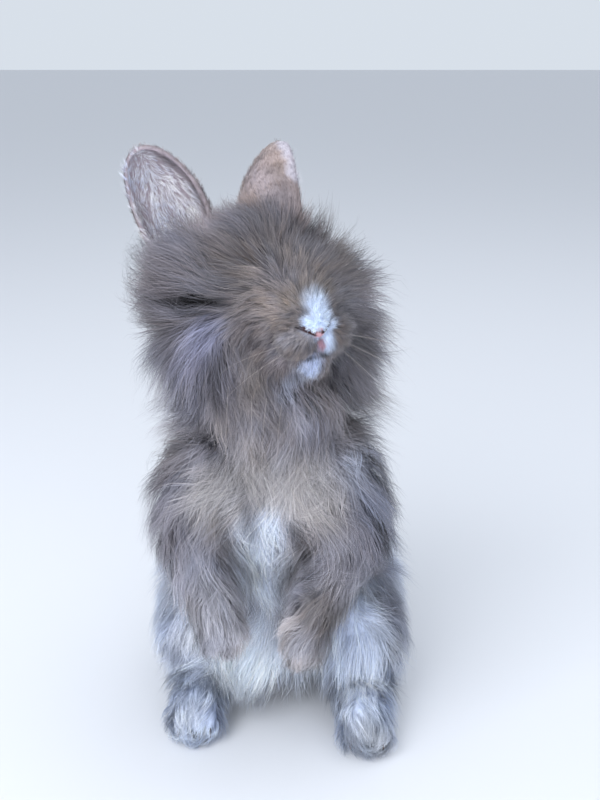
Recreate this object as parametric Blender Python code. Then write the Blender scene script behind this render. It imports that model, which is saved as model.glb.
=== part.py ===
# A young English angora rabbit sitting up on its hind legs, as a still life-size model.
# Metres, +Z up. The rabbit faces -Y, its own left is +X, and it rests on the plane z = 0.
# Each sub-part is a plain core with the long coat built on it as flat, tapered locks.

import math
import random

import bpy
import bmesh
from mathutils import Matrix, Vector
from mathutils.bvhtree import BVHTree

# Driving sizes
gap = 0.0003                # space between sub-parts that touch
coat_share = 0.48           # part of the coat's depth that the solid core fills
nose_reach = 0.044          # middle of the head to the tip of the nose
trunk_half_width = 0.034    # chest and belly, without coat
foot_length = 0.066         # hind foot
foot_spacing = 0.077        # between the middles of the two hind feet
ear_length = 0.056
ear_width = 0.030
ear_thickness = 0.0024
eye_radius = 0.0055
eye_aside = 0.0185          # middle of the head to the middle of an eye
lid_thickness = 0.0014
lid_opening = 0.0022        # the eyes are nearly shut
lip_gap = 0.0012            # line of the mouth
cheeks_aside = (0.0140, 0.0180)     # the coat stands out further on its left cheek
dish_depth = 0.024          # hollow in the coat in front of each eye
body_coat = 0.021           # skin to the tips of the coat on the trunk
cheek_coat = 0.031
crown_coat = 0.021
leg_coat = 0.009
foot_coat = 0.005
tail_coat = 0.011

# Locks of the coat
lock_sides = 3
lock_rings = (0.75, 1.0, 0.64)      # width at each ring, as parts of the widest
lock_sink = 1.4             # how deep a root goes into the core, in thicknesses of the lock
seam_sink = 0.6             # and at most, as a part of the way to the next node
seam_clearing = 0.0013      # no roots this near to the next node
lock_clearance = 0.00045    # to other nodes
lock_lift = 0.004           # how far above the core a lock feels its way forward
lock_swing = 0.16           # spread of the angle to the lie, in radians
lock_curl = 0.22            # spread of the bend at each ring
draws_per_lock = 14         # random places looked at for each lock kept
most_draws = 6              # times that a node's coat is drawn before it is left as it is
eye_clearing = 0.016        # no locks this near to an eye
nose_clearing = 0.019       # or to the nose

# Places
pelvis = Vector((0.0, 0.044, 0.046))
belly = Vector((-0.001, 0.026, 0.078))
chest = Vector((-0.002, 0.010, 0.116))
shoulders = Vector((-0.003, 0.007, 0.134))
head_centre = Vector((-0.005, 0.004, 0.198))
head_yaw, head_pitch, head_roll = 28.0, -14.0, -6.0

# Colour and roughness of each sub-part, under the first word of its name
looks = {
    "head": ((0.20, 0.17, 0.15), 0.9),
    "neck": ((0.24, 0.23, 0.26), 0.9),
    "torso": ((0.25, 0.24, 0.27), 0.9),
    "tail": ((0.25, 0.24, 0.27), 0.9),
    "ear": ((0.40, 0.32, 0.33), 0.8),
    "eye": ((0.02, 0.012, 0.01), 0.1),
    "foreleg": ((0.24, 0.19, 0.15), 0.9),
    "forepaw": ((0.24, 0.19, 0.15), 0.9),
    "hind_leg": ((0.45, 0.43, 0.46), 0.9),
    "hind_foot": ((0.45, 0.43, 0.44), 0.9),
}

head_frame = (
    Matrix.Translation(head_centre)
    @ Matrix.Rotation(math.radians(head_yaw), 4, "Z")
    @ Matrix.Rotation(math.radians(head_pitch), 4, "X")
    @ Matrix.Rotation(math.radians(head_roll), 4, "Y")
)

scene = bpy.context.scene
parts = bpy.data.objects
draw = random.Random(8)
room = {}                   # each core's shape grown by the gap, under its name
placed = []                 # each lock so far: its node, tree, and lowest and highest corner

# Lift, turn and share of the length that a lock tries in turn until it clears the other nodes
lock_tries = [(0.0, 0.0, 1.0), (0.002, 0.0, 1.0), (0.004, 0.2, 0.85), (0.004, -0.2, 0.85)]
lock_tries += [(0.006, 0.0, 0.8), (0.006, 0.3, 0.75), (0.006, -0.3, 0.75), (0.001, 0.5, 0.7)]
lock_tries += [(0.001, -0.5, 0.7), (0.006, 0.0, 0.6), (0.0, 0.9, 0.55), (0.0, -0.9, 0.55)]


def clear_scene():
    for old in list(bpy.data.objects):
        bpy.data.objects.remove(old, do_unlink=True)


def object_from(name, bm):
    mesh = bpy.data.meshes.new(name)
    bm.to_mesh(mesh)
    bm.free()
    made = bpy.data.objects.new(name, mesh)
    scene.collection.objects.link(made)
    return made


def add_ball(bm, centre, radii, coat=0.0, turn=None, rings=14):
    """A ball stretched to three radii, each grown by the core's part of the coat."""
    grown_radii = [r + coat * coat_share for r in radii]
    place = Matrix.Translation(centre) @ (turn or Matrix.Identity(4)) @ Matrix.Diagonal((*grown_radii, 1.0))
    bmesh.ops.create_uvsphere(bm, u_segments=rings * 2, v_segments=rings, radius=1.0, matrix=place)


def add_chain(bm, points, radii, coat=0.0, steps=6):
    """Balls close together along a bent line, as wide, deep and high as the radii say."""
    for start, end, r0, r1 in zip(points, points[1:], radii, radii[1:]):
        for i in range(steps + 1):
            t = i / steps
            add_ball(bm, Vector(start).lerp(Vector(end), t), Vector(r0).lerp(Vector(r1), t), coat, rings=10)


def add_limb(bm, points, radii, coat=0.0):
    """Round balls close together along a bent line, thick as the radii say."""
    add_chain(bm, points, [(r, r, r) for r in radii], coat)


def apply_modifiers(obj):
    graph = bpy.context.evaluated_depsgraph_get()
    mesh = bpy.data.meshes.new_from_object(obj.evaluated_get(graph))
    obj.modifiers.clear()
    old = obj.data
    obj.data = mesh
    bpy.data.meshes.remove(old)


def melt(name, bm, voxel, smoothing, triangles):
    """Melts overlapping balls into one smooth skin of about so many triangles."""
    obj = object_from(name, bm)
    remesh = obj.modifiers.new("Remesh", "REMESH")
    remesh.mode = "VOXEL"
    remesh.voxel_size = voxel
    smooth = obj.modifiers.new("Smooth", "SMOOTH")
    smooth.factor = 0.5
    smooth.iterations = smoothing
    apply_modifiers(obj)
    decimate = obj.modifiers.new("Decimate", "DECIMATE")
    decimate.ratio = min(1.0, triangles / (2.0 * len(obj.data.polygons)))
    decimate.use_collapse_triangulate = True
    apply_modifiers(obj)
    return obj


def grow(bm, offset):
    bm.normal_update()
    moves = [(v, v.normal * offset * v.calc_shell_factor()) for v in bm.verts]
    for v, move in moves:
        v.co += move


def combine(obj, cutter, operation):
    boolean = obj.modifiers.new("Boolean", "BOOLEAN")
    boolean.operation = operation
    boolean.object = cutter
    apply_modifiers(obj)
    bpy.data.objects.remove(cutter, do_unlink=True)
    keep_largest(obj)


def keep_room(obj):
    """Keeps the object's shape, grown by the gap, to cut its neighbours with."""
    bm = bmesh.new()
    bm.from_mesh(obj.data)
    grow(bm, gap)
    mesh = bpy.data.meshes.new("room")
    bm.to_mesh(mesh)
    bm.free()
    room[obj.name] = mesh


def carve(name, *neighbours):
    """Cuts an object back from its neighbours, so that they meet face to face across the gap."""
    for neighbour in neighbours:
        cutter = bpy.data.objects.new("cutter", room[neighbour].copy())
        scene.collection.objects.link(cutter)
        combine(parts[name], cutter, "DIFFERENCE")


def flatten_base(obj, level=0.0):
    """Cuts the object off flat at a height."""
    bm = bmesh.new()
    bm.from_mesh(obj.data)
    everything = list(bm.verts) + list(bm.edges) + list(bm.faces)
    bmesh.ops.bisect_plane(
        bm, geom=everything, dist=1e-6, plane_co=(0, 0, level), plane_no=(0, 0, 1), clear_inner=True
    )
    rim = [e for e in bm.edges if len(e.link_faces) == 1]
    if rim:
        bmesh.ops.triangle_fill(bm, use_beauty=True, use_dissolve=False, edges=rim, normal=(0, 0, -1))
    bmesh.ops.recalc_face_normals(bm, faces=bm.faces)
    bm.to_mesh(obj.data)
    bm.free()


def keep_largest(obj):
    """Keeps only the closed surface that encloses the most."""
    bm = bmesh.new()
    bm.from_mesh(obj.data)
    bmesh.ops.triangulate(bm, faces=bm.faces)
    bmesh.ops.remove_doubles(bm, verts=bm.verts, dist=1e-6)
    left = set(bm.faces)
    shells = []
    while left:
        start = left.pop()
        shell, queue = {start}, [start]
        while queue:
            for edge in queue.pop().edges:
                for other in edge.link_faces:
                    if other in left:
                        left.discard(other)
                        shell.add(other)
                        queue.append(other)
        volume = sum(f.verts[0].co.dot(f.verts[1].co.cross(f.verts[2].co)) for f in shell)
        shells.append((abs(volume), shell))
    shells.sort(key=lambda s: s[0])
    for _, shell in shells[:-1]:
        bmesh.ops.delete(bm, geom=list(shell), context="FACES")
    loose = [v for v in bm.verts if not v.link_faces]
    bmesh.ops.delete(bm, geom=loose, context="VERTS")
    bm.to_mesh(obj.data)
    bm.free()


def paint(obj, rgb, roughness):
    material = bpy.data.materials.new(obj.name)
    material.use_nodes = True
    shader = material.node_tree.nodes["Principled BSDF"]
    shader.inputs["Base Color"].default_value = (*rgb, 1.0)
    shader.inputs["Roughness"].default_value = roughness
    obj.data.materials.clear()
    obj.data.materials.append(material)


def centre_all():
    """Moves everything so that the origin is the middle of the bottom of the whole rabbit's box."""
    corners = [v.co for obj in scene.objects for v in obj.data.vertices]
    low = [min(c[i] for c in corners) for i in range(3)]
    high = [max(c[i] for c in corners) for i in range(3)]
    shift = Matrix.Translation((-(low[0] + high[0]) / 2, -(low[1] + high[1]) / 2, -low[2]))
    for obj in scene.objects:
        obj.data.transform(shift)
    print("moved by", *(round(v, 5) for v in shift.translation))
    return shift.translation


# Cores


def trunk_core():
    bm = bmesh.new()
    w = trunk_half_width
    places = (pelvis, belly, chest, shoulders)
    sizes = ((w, 0.034, 0.040), (w, 0.032, 0.040), (w - 0.003, 0.028, 0.030), (w - 0.008, 0.021, 0.014))
    add_chain(bm, places, sizes, body_coat)
    for side in (-1, 1):
        shoulder, elbow, wrist, paw = foreleg_line(side)
        add_limb(bm, (shoulder, elbow), (0.0125, 0.0110), leg_coat * 1.5)
    core = melt("torso", bm, 0.0025, 10, 560)
    flatten_base(core)
    return core


def neck_core():
    bm = bmesh.new()
    throat = shoulders.lerp(head_centre, 0.6)
    add_chain(bm, (shoulders, throat), ((0.024, 0.022, 0.014), (0.022, 0.021, 0.018)), body_coat)
    return melt("neck", bm, 0.002, 6, 240)


def head_core():
    bm = bmesh.new()
    add_ball(bm, (0, 0.008, 0.006), (0.021, 0.026, 0.022), crown_coat)
    add_ball(bm, (0, -0.005, 0.002), (0.021, 0.021, 0.017), 0.008)
    for side, aside in zip((-1, 1), cheeks_aside):
        add_ball(bm, (side * aside, 0.009, -0.009), (0.0145, 0.018, 0.015), cheek_coat)
        add_ball(bm, (side * 0.0058, 0.010 - nose_reach, -0.0145), (0.0068, 0.0070, 0.0064), 0.002)
    add_limb(bm, ((0, -0.014, -0.003), (0, 0.013 - nose_reach, -0.0085)), (0.0145, 0.0085), 0.004)
    add_limb(bm, ((0, -0.006, -0.018), (0, -0.028, -0.0215)), (0.0125, 0.0070), 0.005)
    add_ball(bm, (0, 0.0045 - nose_reach, -0.0100), (0.0048, 0.0045, 0.0042), 0.0)
    core = melt("head", bm, 0.0012, 5, 880)
    shape_eyes(core)
    shape_mouth(core)
    core.data.transform(head_frame)
    return core


def ball_object(centre, radii, turn=None, subdivisions=2):
    bm = bmesh.new()
    place = Matrix.Translation(centre) @ (turn or Matrix.Identity(4)) @ Matrix.Diagonal((*radii, 1.0))
    bmesh.ops.create_icosphere(bm, subdivisions=subdivisions, radius=1.0, matrix=place)
    return object_from("tool", bm)


def wedge_object(start, end, width, depth):
    """A thin three-sided bar between two points, to cut a line with: wide at the front, sharp behind."""
    bm = bmesh.new()
    start, end = Vector(start), Vector(end)
    along = (end - start).normalized()
    side = along.cross(Vector((0, 1, 0))).normalized() * width / 2
    rings = []
    for point in (start, end):
        front = point + Vector((0, -0.003, 0))
        back = point + Vector((0, depth, 0))
        rings.append([bm.verts.new(front + side), bm.verts.new(front - side), bm.verts.new(back)])
    bm.faces.new(rings[0])
    bm.faces.new(list(reversed(rings[1])))
    for i in range(3):
        j = (i + 1) % 3
        bm.faces.new((rings[0][j], rings[0][i], rings[1][i], rings[1][j]))
    bmesh.ops.recalc_face_normals(bm, faces=bm.faces)
    return object_from("tool", bm)


def eye_frame(side):
    """The eye's place in the head: its own Z looks out and X runs to the corner by the nose."""
    out = Vector((side * 0.94, -0.32, 0.10)).normalized()
    nose_way = Vector((side * -0.32, -0.94, -0.12))
    nose_way = (nose_way - out * nose_way.dot(out)).normalized()
    turn = Matrix((nose_way, out.cross(nose_way), out)).transposed().to_4x4()
    return Matrix.Translation((side * eye_aside, -0.002, 0.005)) @ turn


def shape_eyes(core):
    """A dish in the coat, two lids nearly closed, and the socket behind them."""
    for side, word in ((-1, "right"), (1, "left")):
        place = eye_frame(side)
        turn = place.to_3x3().to_4x4()
        outwards = place.to_3x3() @ Vector((0, 0, 1))
        dish = ball_object(place.translation + outwards * dish_depth, (0.0125, 0.0085, dish_depth), turn)
        combine(core, dish, "DIFFERENCE")
        lid = eye_radius + lid_thickness
        combine(core, ball_object(place.translation, (lid, lid, lid), turn), "UNION")
        slit = ball_object(place.translation + outwards * eye_radius, (0.0046, lid_opening / 2, 0.004), turn)
        combine(core, slit, "DIFFERENCE")
        socket = eye_radius + gap
        combine(core, ball_object(place.translation, (socket, socket, socket), turn), "DIFFERENCE")
        eyeball = ball_object(place.translation, (eye_radius, eye_radius, eye_radius), turn)
        eyeball.name = "eye_" + word
        eyeball.data.transform(head_frame)


def shape_mouth(core):
    """Nostrils, the groove under the nose, and the line of the mouth between the lips."""
    front = -nose_reach
    for side in (-1, 1):
        slant = Matrix.Rotation(side * math.radians(28), 4, "Y")
        turn = slant @ Matrix.Rotation(side * math.radians(-25), 4, "Z")
        nostril = ball_object((side * 0.0030, front + 0.0010, -0.0090), (0.0030, 0.0022, 0.0009), turn)
        combine(core, nostril, "DIFFERENCE")
        corner = (side * 0.0105, front + 0.013, -0.0235)
        lip_line = wedge_object((0, front + 0.004, -0.0200), corner, lip_gap, 0.004)
        combine(core, lip_line, "DIFFERENCE")
    groove = wedge_object((0, front + 0.002, -0.0125), (0, front + 0.004, -0.0204), lip_gap, 0.003)
    combine(core, groove, "DIFFERENCE")


def foreleg_line(side):
    """Shoulder, elbow, wrist and paw of a foreleg; both hang together in front of the belly."""
    paw_x = -0.006 + side * 0.0165
    return (
        Vector((side * 0.030 - 0.003, -0.008, 0.126)),
        Vector((side * 0.033 - 0.003, -0.018, 0.098)),
        Vector((paw_x + side * 0.004, -0.040, 0.080)),
        Vector((paw_x, -0.045, 0.066 - side * 0.003)),
    )


def foreleg_core(word, side):
    shoulder, elbow, wrist, paw = foreleg_line(side)
    bm = bmesh.new()
    add_limb(bm, (elbow, wrist), (0.0090, 0.0062), leg_coat)
    return melt("foreleg_" + word, bm, 0.0018, 6, 220)


def forepaw_core(word, side):
    shoulder, elbow, wrist, paw = foreleg_line(side)
    bm = bmesh.new()
    add_limb(bm, (wrist, paw), (0.0054, 0.0060), foot_coat)
    return melt("forepaw_" + word, bm, 0.0016, 5, 130)


def hind_foot_line(side):
    """Hock and toes of a hind foot; the rabbit's left foot stands a little further forward."""
    forward = 0.004 * side
    half = foot_spacing / 2
    front = -0.035 - forward
    return [
        Vector((side * (half - 0.005), front + foot_length - 0.013, 0.0125)),
        Vector((side * half, front + 0.014, 0.0115)),
    ]


def hind_foot_core(word, side):
    hock, toes = hind_foot_line(side)
    bm = bmesh.new()
    add_limb(bm, (hock, toes), (0.0105, 0.0108), foot_coat)
    core = melt("hind_foot_" + word, bm, 0.0020, 6, 190)
    flatten_base(core)
    return core


def hind_leg_core(word, side):
    hock, toes = hind_foot_line(side)
    bm = bmesh.new()
    hip = Vector((side * 0.0355, 0.034, 0.044))
    knee = Vector((side * 0.0390, 0.002 - 0.004 * side, 0.040))
    add_chain(bm, (hip, knee), ((0.0160, 0.026, 0.027), (0.0130, 0.013, 0.019)), leg_coat)
    add_limb(bm, (knee, hock.lerp(toes, 0.45) + Vector((0, 0, 0.012))), (0.0120, 0.0095), leg_coat)
    core = melt("hind_leg_" + word, bm, 0.0022, 8, 300)
    flatten_base(core, gap)
    return core


def tail_core():
    bm = bmesh.new()
    add_limb(bm, ((0, 0.082, 0.026), (0, 0.100, 0.032)), (0.0065, 0.0055), tail_coat)
    core = melt("tail", bm, 0.0018, 6, 150)
    flatten_base(core, gap)
    return core


def ear_core(word, side):
    """A thin cup rolled about its length, open outwards, with its foot in the head."""
    base, tip = ear_ends(side)
    up = (tip - base).normalized()
    opening = head_frame.to_3x3() @ Vector((side, -1.1 if side < 0 else -0.45, 0.1))
    opening = (opening - up * opening.dot(up)).normalized()
    across = up.cross(opening)
    rows, columns = 8, 6
    bm = bmesh.new()
    faces = []
    for layer in (-0.5, 0.5):
        grid = []
        for i in range(rows + 1):
            t = math.sin(0.5 * math.pi * i / rows)
            half = 0.5 * ear_width * ear_outline(t)
            spread = math.radians(150 - 85 * t)
            radius = half / math.sin(min(spread, math.pi / 2))
            thick = ear_thickness * (1.0 - 0.45 * t)
            bend = -0.10 * ear_length * math.sin(math.pi * t)
            row = []
            for j in range(columns + 1):
                angle = spread * (2.0 * j / columns - 1.0)
                r = radius + thick * layer
                out = opening * (-math.cos(angle) * r + radius * math.cos(spread) + bend)
                row.append(bm.verts.new(base + up * (t * ear_length) + out + across * (math.sin(angle) * r)))
            grid.append(row)
        faces.append(grid)
    inner, outer = faces
    for i in range(rows):
        for j in range(columns):
            a, b, c, d = outer[i][j], outer[i][j + 1], outer[i + 1][j + 1], outer[i + 1][j]
            bm.faces.new((a, b, c))
            bm.faces.new((a, c, d))
            a, b, c, d = inner[i][j], inner[i][j + 1], inner[i + 1][j + 1], inner[i + 1][j]
            bm.faces.new((c, b, a))
            bm.faces.new((d, c, a))
    for i in range(rows):
        for j in (0, columns):
            bm.faces.new((outer[i][j], outer[i + 1][j], inner[i + 1][j], inner[i][j]))
    for i in (0, rows):
        for j in range(columns):
            bm.faces.new((outer[i][j], outer[i][j + 1], inner[i][j + 1], inner[i][j]))
    bmesh.ops.triangulate(bm, faces=bm.faces)
    bmesh.ops.recalc_face_normals(bm, faces=bm.faces)
    return object_from("ear_" + word, bm)


def ear_outline(t):
    """Width of the ear along its length, as a part of its full width."""
    if t < 0.45:
        return 0.50 + 0.50 * math.sin(math.pi * t / 0.9)
    return 0.06 + 0.94 * math.sqrt(max(0.0, 1.0 - ((t - 0.45) / 0.55) ** 2))


def ear_ends(side):
    if side < 0:
        return Vector((-0.031, 0.012, 0.212)), Vector((-0.0565, 0.026, 0.2555))
    return Vector((0.007, 0.022, 0.209)), Vector((0.001, 0.048, 0.2540))


# The coat: flat, tapered locks, combed along the lie of the fur


def lie_trunk(point, normal):
    """Down, and a little towards the back behind the flanks."""
    return Vector((0.15 * math.copysign(1, point.x), 0.25 + 6.0 * max(0.0, point.y), -1.0))


def lie_neck(point, normal):
    return Vector((0.0, 0.0, -1.0)) + 0.3 * normal


def lie_head(point, normal):
    """Away from the nose, and drawn down on the cheeks, less so beside the muzzle."""
    nose = head_frame @ Vector((0, -nose_reach, -0.008))
    away = (point - nose).normalized()
    if point.z > head_centre.z:
        return away + Vector((0, 0, -0.25))
    return away + Vector((0, 0, -min(0.9, 12 * (point - nose).length - 0.15)))


def lie_limb(line):
    """Along a limb, from its first point to its last."""
    run = (line[-1] - line[0]).normalized()

    def lie(point, normal):
        return run + Vector((0, 0, -0.2))

    return lie


def lie_thigh(point, normal):
    return Vector((0.25 * math.copysign(1, point.x), -0.25, -1.0))


def lie_tail(point, normal):
    return Vector((point.x * 10, 1.0, -0.15))


def everywhere(point, normal):
    return 1.0


def not_below(point, normal):
    return 0.0 if normal.z < -0.75 or point.z < 0.006 else 1.0


def off_the_face(point, normal):
    """No locks on the muzzle and the eyes, full ones on the cheeks, shorter ones on the crown."""
    local = head_frame.inverted() @ point
    for side in (-1, 1):
        if (local - eye_frame(side).translation).length < eye_clearing:
            return 0.0
    distance = (local - Vector((0, -nose_reach, -0.010))).length
    if distance < nose_clearing:
        return 0.0
    crown = min(1.0, max(0.0, (local.z + 0.006) / 0.018))
    return min(1.0, 0.65 + (distance - nose_clearing) / 0.030) * (1.0 - 0.42 * crown)


def lock_plans():
    """Spacing, length, width, thickness, depth of coat, lie and share of full size of each node's locks."""
    plans = {}
    for side, word in ((-1, "right"), (1, "left")):
        foot = hind_foot_line(side)
        foreleg = foreleg_line(side)
        plans["hind_foot_" + word] = (0.0125, 0.016, 0.0085, 0.0028, foot_coat, lie_limb(foot), not_below)
        plans["hind_leg_" + word] = (0.0135, 0.024, 0.0120, 0.0030, leg_coat * 1.5, lie_thigh, not_below)
        paw = foreleg[2:]
        plans["forepaw_" + word] = (0.0085, 0.011, 0.0060, 0.0022, foot_coat, lie_limb(paw), everywhere)
        plans["foreleg_" + word] = (0.0125, 0.021, 0.0090, 0.0028, leg_coat, lie_limb(foreleg), everywhere)
    plans["tail"] = (0.0110, 0.018, 0.0090, 0.0028, tail_coat, lie_tail, not_below)
    plans["torso"] = (0.0162, 0.036, 0.0142, 0.0034, body_coat, lie_trunk, not_below)
    plans["neck"] = (0.0136, 0.034, 0.0130, 0.0032, body_coat, lie_neck, everywhere)
    plans["head"] = (0.0131, 0.034, 0.0120, 0.0030, cheek_coat * 1.3, lie_head, off_the_face)
    return plans


def surface_points(obj, spacing, share_at):
    """Evenly spread random points of the surface, with their normals."""
    bm = bmesh.new()
    bm.from_mesh(obj.data)
    bmesh.ops.triangulate(bm, faces=bm.faces)
    bm.normal_update()
    faces = list(bm.faces)
    areas = [f.calc_area() for f in faces]
    chosen = []
    for face in draw.choices(faces, areas, k=int(sum(areas) / spacing ** 2 * draws_per_lock)):
        a, b = draw.random(), draw.random()
        if a + b > 1:
            a, b = 1 - a, 1 - b
        v = [corner.co for corner in face.verts]
        point = v[0] + (v[1] - v[0]) * a + (v[2] - v[0]) * b
        share = share_at(point, face.normal)
        if share > 0 and all((point - p).length > spacing * (share + s) / 2 for p, _, s in chosen):
            chosen.append((point, face.normal.copy(), share))
    bm.free()
    chosen.sort(key=lambda c: c[0].z)
    return chosen


def comb(point, normal, lie, turn, curl, length, heights, body):
    """Spine of a lock: it leaves the surface at the point and follows the body along the lie of the coat."""
    spine = []
    place, up = point.copy(), normal.copy()
    for i, height in enumerate(heights):
        run = lie(place, up)
        run = Matrix.Rotation(turn + curl * i, 3, up) @ run
        run = (run - up * run.dot(up)).normalized()
        spine.append((place + up * height, up.copy(), run))
        ahead = place + up * lock_lift + run * (length / (len(heights) - 1))
        nearest, face_normal, _, _ = body.find_nearest(ahead)
        place = nearest
        up = (up + (ahead - nearest).normalized()).normalized() if (ahead - nearest).length > 1e-5 else up
    return spine


def lock_mesh(spine, width, thickness, grown=0.0):
    """A closed flat lock on a spine, with a low ridge on top, pointed at its tip."""
    bm = bmesh.new()
    rings = []
    for (place, up, run), share in zip(spine, lock_rings):
        across = run.cross(up).normalized()
        half = width * share / 2 + 2 * grown
        ridge = thickness * (0.4 + 0.6 * share) * 0.7 + grown
        corners = (across * half - up * grown, up * ridge, across * -half - up * grown)
        rings.append([bm.verts.new(place + corner) for corner in corners])
    place, up, run = spine[-1]
    tip = bm.verts.new(place + run * grown)
    for low, high in zip(rings, rings[1:]):
        for i in range(lock_sides):
            j = (i + 1) % lock_sides
            bm.faces.new((low[i], low[j], high[j]))
            bm.faces.new((low[i], high[j], high[i]))
    for i in range(lock_sides):
        bm.faces.new((rings[-1][i], rings[-1][(i + 1) % lock_sides], tip))
    bm.faces.new((rings[0][2], rings[0][1], rings[0][0]))
    bmesh.ops.recalc_face_normals(bm, faces=bm.faces)
    return bm


def crosses_itself(bm):
    """Whether two faces with no corner in common meet."""
    bm.faces.ensure_lookup_table()
    tree = BVHTree.FromBMesh(bm)
    pairs = ((bm.faces[i], bm.faces[j]) for i, j in tree.overlap(tree) if i < j)
    return any(not set(a.verts) & set(b.verts) for a, b in pairs)


def is_clear(name, spine, width, thickness, cores):
    """Whether a lock, with its clearance, meets no other node and stays off the floor."""
    bm = lock_mesh(spine, width, thickness, lock_clearance)
    if crosses_itself(bm):
        bm.free()
        return False
    lowest = min(v.co.z for v in bm.verts)
    tree = BVHTree.FromBMesh(bm)
    low = [min(v.co[i] for v in bm.verts) for i in range(3)]
    high = [max(v.co[i] for v in bm.verts) for i in range(3)]
    bm.free()
    if lowest < gap:
        return False
    if any(tree.overlap(core) for other, core in cores.items() if other != name):
        return False
    for other, other_tree, other_low, other_high in placed:
        apart = any(low[i] > other_high[i] or high[i] < other_low[i] for i in range(3))
        if other != name and not apart and tree.overlap(other_tree):
            return False
    placed.append((name, tree, low, high))
    return True


def coat_locks(name, plan, body, cores):
    """A node's locks on its core, each bent, lifted or shortened until it clears the other nodes."""
    spacing, length, width, thickness, depth, lie, share_at = plan
    locks = bpy.data.collections.new("locks")
    reach = depth * (1 - coat_share)
    others = [core for other, core in cores.items() if other != name]

    def room_behind(point):
        return min(core.find_nearest(point)[3] for core in others)

    def rooted_share(point, normal):
        return share_at(point, normal) if room_behind(point) > seam_clearing else 0.0

    for point, normal, share in surface_points(parts[name], spacing, rooted_share):
        sunk = min(thickness * lock_sink, room_behind(point) * seam_sink)
        long = length * share * draw.uniform(0.85, 1.2)
        wide = width * (0.4 + 0.6 * share) * draw.uniform(0.85, 1.15)
        high = reach * share * draw.uniform(0.75, 1.25)
        swing = draw.gauss(0, lock_swing)
        curl = draw.gauss(0, lock_curl)
        for lift, turn, cut in lock_tries:
            heights = (-sunk, high * 0.38 + lift, high * 0.75 + lift, high + lift * 0.7)
            bend = curl if cut == 1.0 else 0.0
            spine = comb(point, normal, lie, swing + turn, bend, long * cut, heights, body)
            broad = wide * min(1.0, cut + 0.15)
            if is_clear(name, spine, broad, thickness, cores):
                obj = object_from("lock", lock_mesh(spine, broad, thickness))
                scene.collection.objects.unlink(obj)
                locks.objects.link(obj)
                break
    return locks


def grow_coat(name, plan, body, cores):
    """Grows a node's coat and fuses it to its core; a union that isn't clean is drawn again."""
    obj = parts[name]
    core = obj.data.copy()
    for attempt in range(most_draws):
        start = len(placed)
        locks = coat_locks(name, plan, body, cores)
        count = len(locks.objects)
        fuse(obj, locks)
        if is_clean(obj):
            break
        obj.data = core.copy()
        del placed[start:]
    print(name, count, "locks", len(obj.data.polygons), "triangles, draw", attempt + 1)


def is_clean(obj):
    """Whether every edge has two faces and every corner is one closed fan of them."""
    bm = bmesh.new()
    bm.from_mesh(obj.data)
    clean = all(e.is_manifold for e in bm.edges) and all(v.is_manifold for v in bm.verts)
    bm.free()
    return clean


def joined(*objects):
    bm = bmesh.new()
    for obj in objects:
        bm.from_mesh(obj.data)
    return bm


def fuse(obj, pieces):
    """Joins a collection of closed pieces to an object with one Boolean union."""
    boolean = obj.modifiers.new("Boolean", "BOOLEAN")
    boolean.operation = "UNION"
    boolean.operand_type = "COLLECTION"
    boolean.collection = pieces
    boolean.solver = "MANIFOLD"
    apply_modifiers(obj)
    for piece in list(pieces.objects):
        bpy.data.objects.remove(piece, do_unlink=True)
    bpy.data.collections.remove(pieces)
    keep_largest(obj)


clear_scene()
trunk_core()
neck_core()
head_core()
tail_core()
for side, word in ((-1, "right"), (1, "left")):
    foreleg_core(word, side)
    forepaw_core(word, side)
    hind_foot_core(word, side)
    hind_leg_core(word, side)
    ear_core(word, side)
for obj in scene.objects:
    keep_room(obj)
carve("neck", "head")
carve("torso", "neck", "head")
carve("tail", "torso", "hind_leg_right", "hind_leg_left")
for word in ("right", "left"):
    carve("ear_" + word, "head")
    carve("foreleg_" + word, "torso", "neck", "head")
    carve("forepaw_" + word, "foreleg_" + word, "torso")
    carve("hind_leg_" + word, "torso")
    carve("hind_foot_" + word, "hind_leg_" + word, "torso")
carve("forepaw_left", "forepaw_right", "foreleg_right")
carve("foreleg_left", "foreleg_right", "forepaw_right")
cores = {obj.name: BVHTree.FromBMesh(joined(obj)) for obj in scene.objects}
whole = BVHTree.FromBMesh(joined(*(obj for obj in scene.objects if obj.name[:3] not in ("ear", "eye"))))
for name, plan in lock_plans().items():
    grow_coat(name, plan, whole, cores)
moved = centre_all()
for obj in scene.objects:
    paint(obj, *next(look for word, look in looks.items() if obj.name.startswith(word)))
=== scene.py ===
# A young English angora rabbit sitting up on its hind legs: skin, wool, ears, eyes and whiskers.
# Sizes are in millimetres in the rabbit's own measure: it faces -y, its left is +x, z is up from the floor.

import math
import bpy
import bmesh
import numpy as np
from mathutils import Matrix, Vector
from mathutils.bvhtree import BVHTree
from mathutils.kdtree import KDTree


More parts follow.
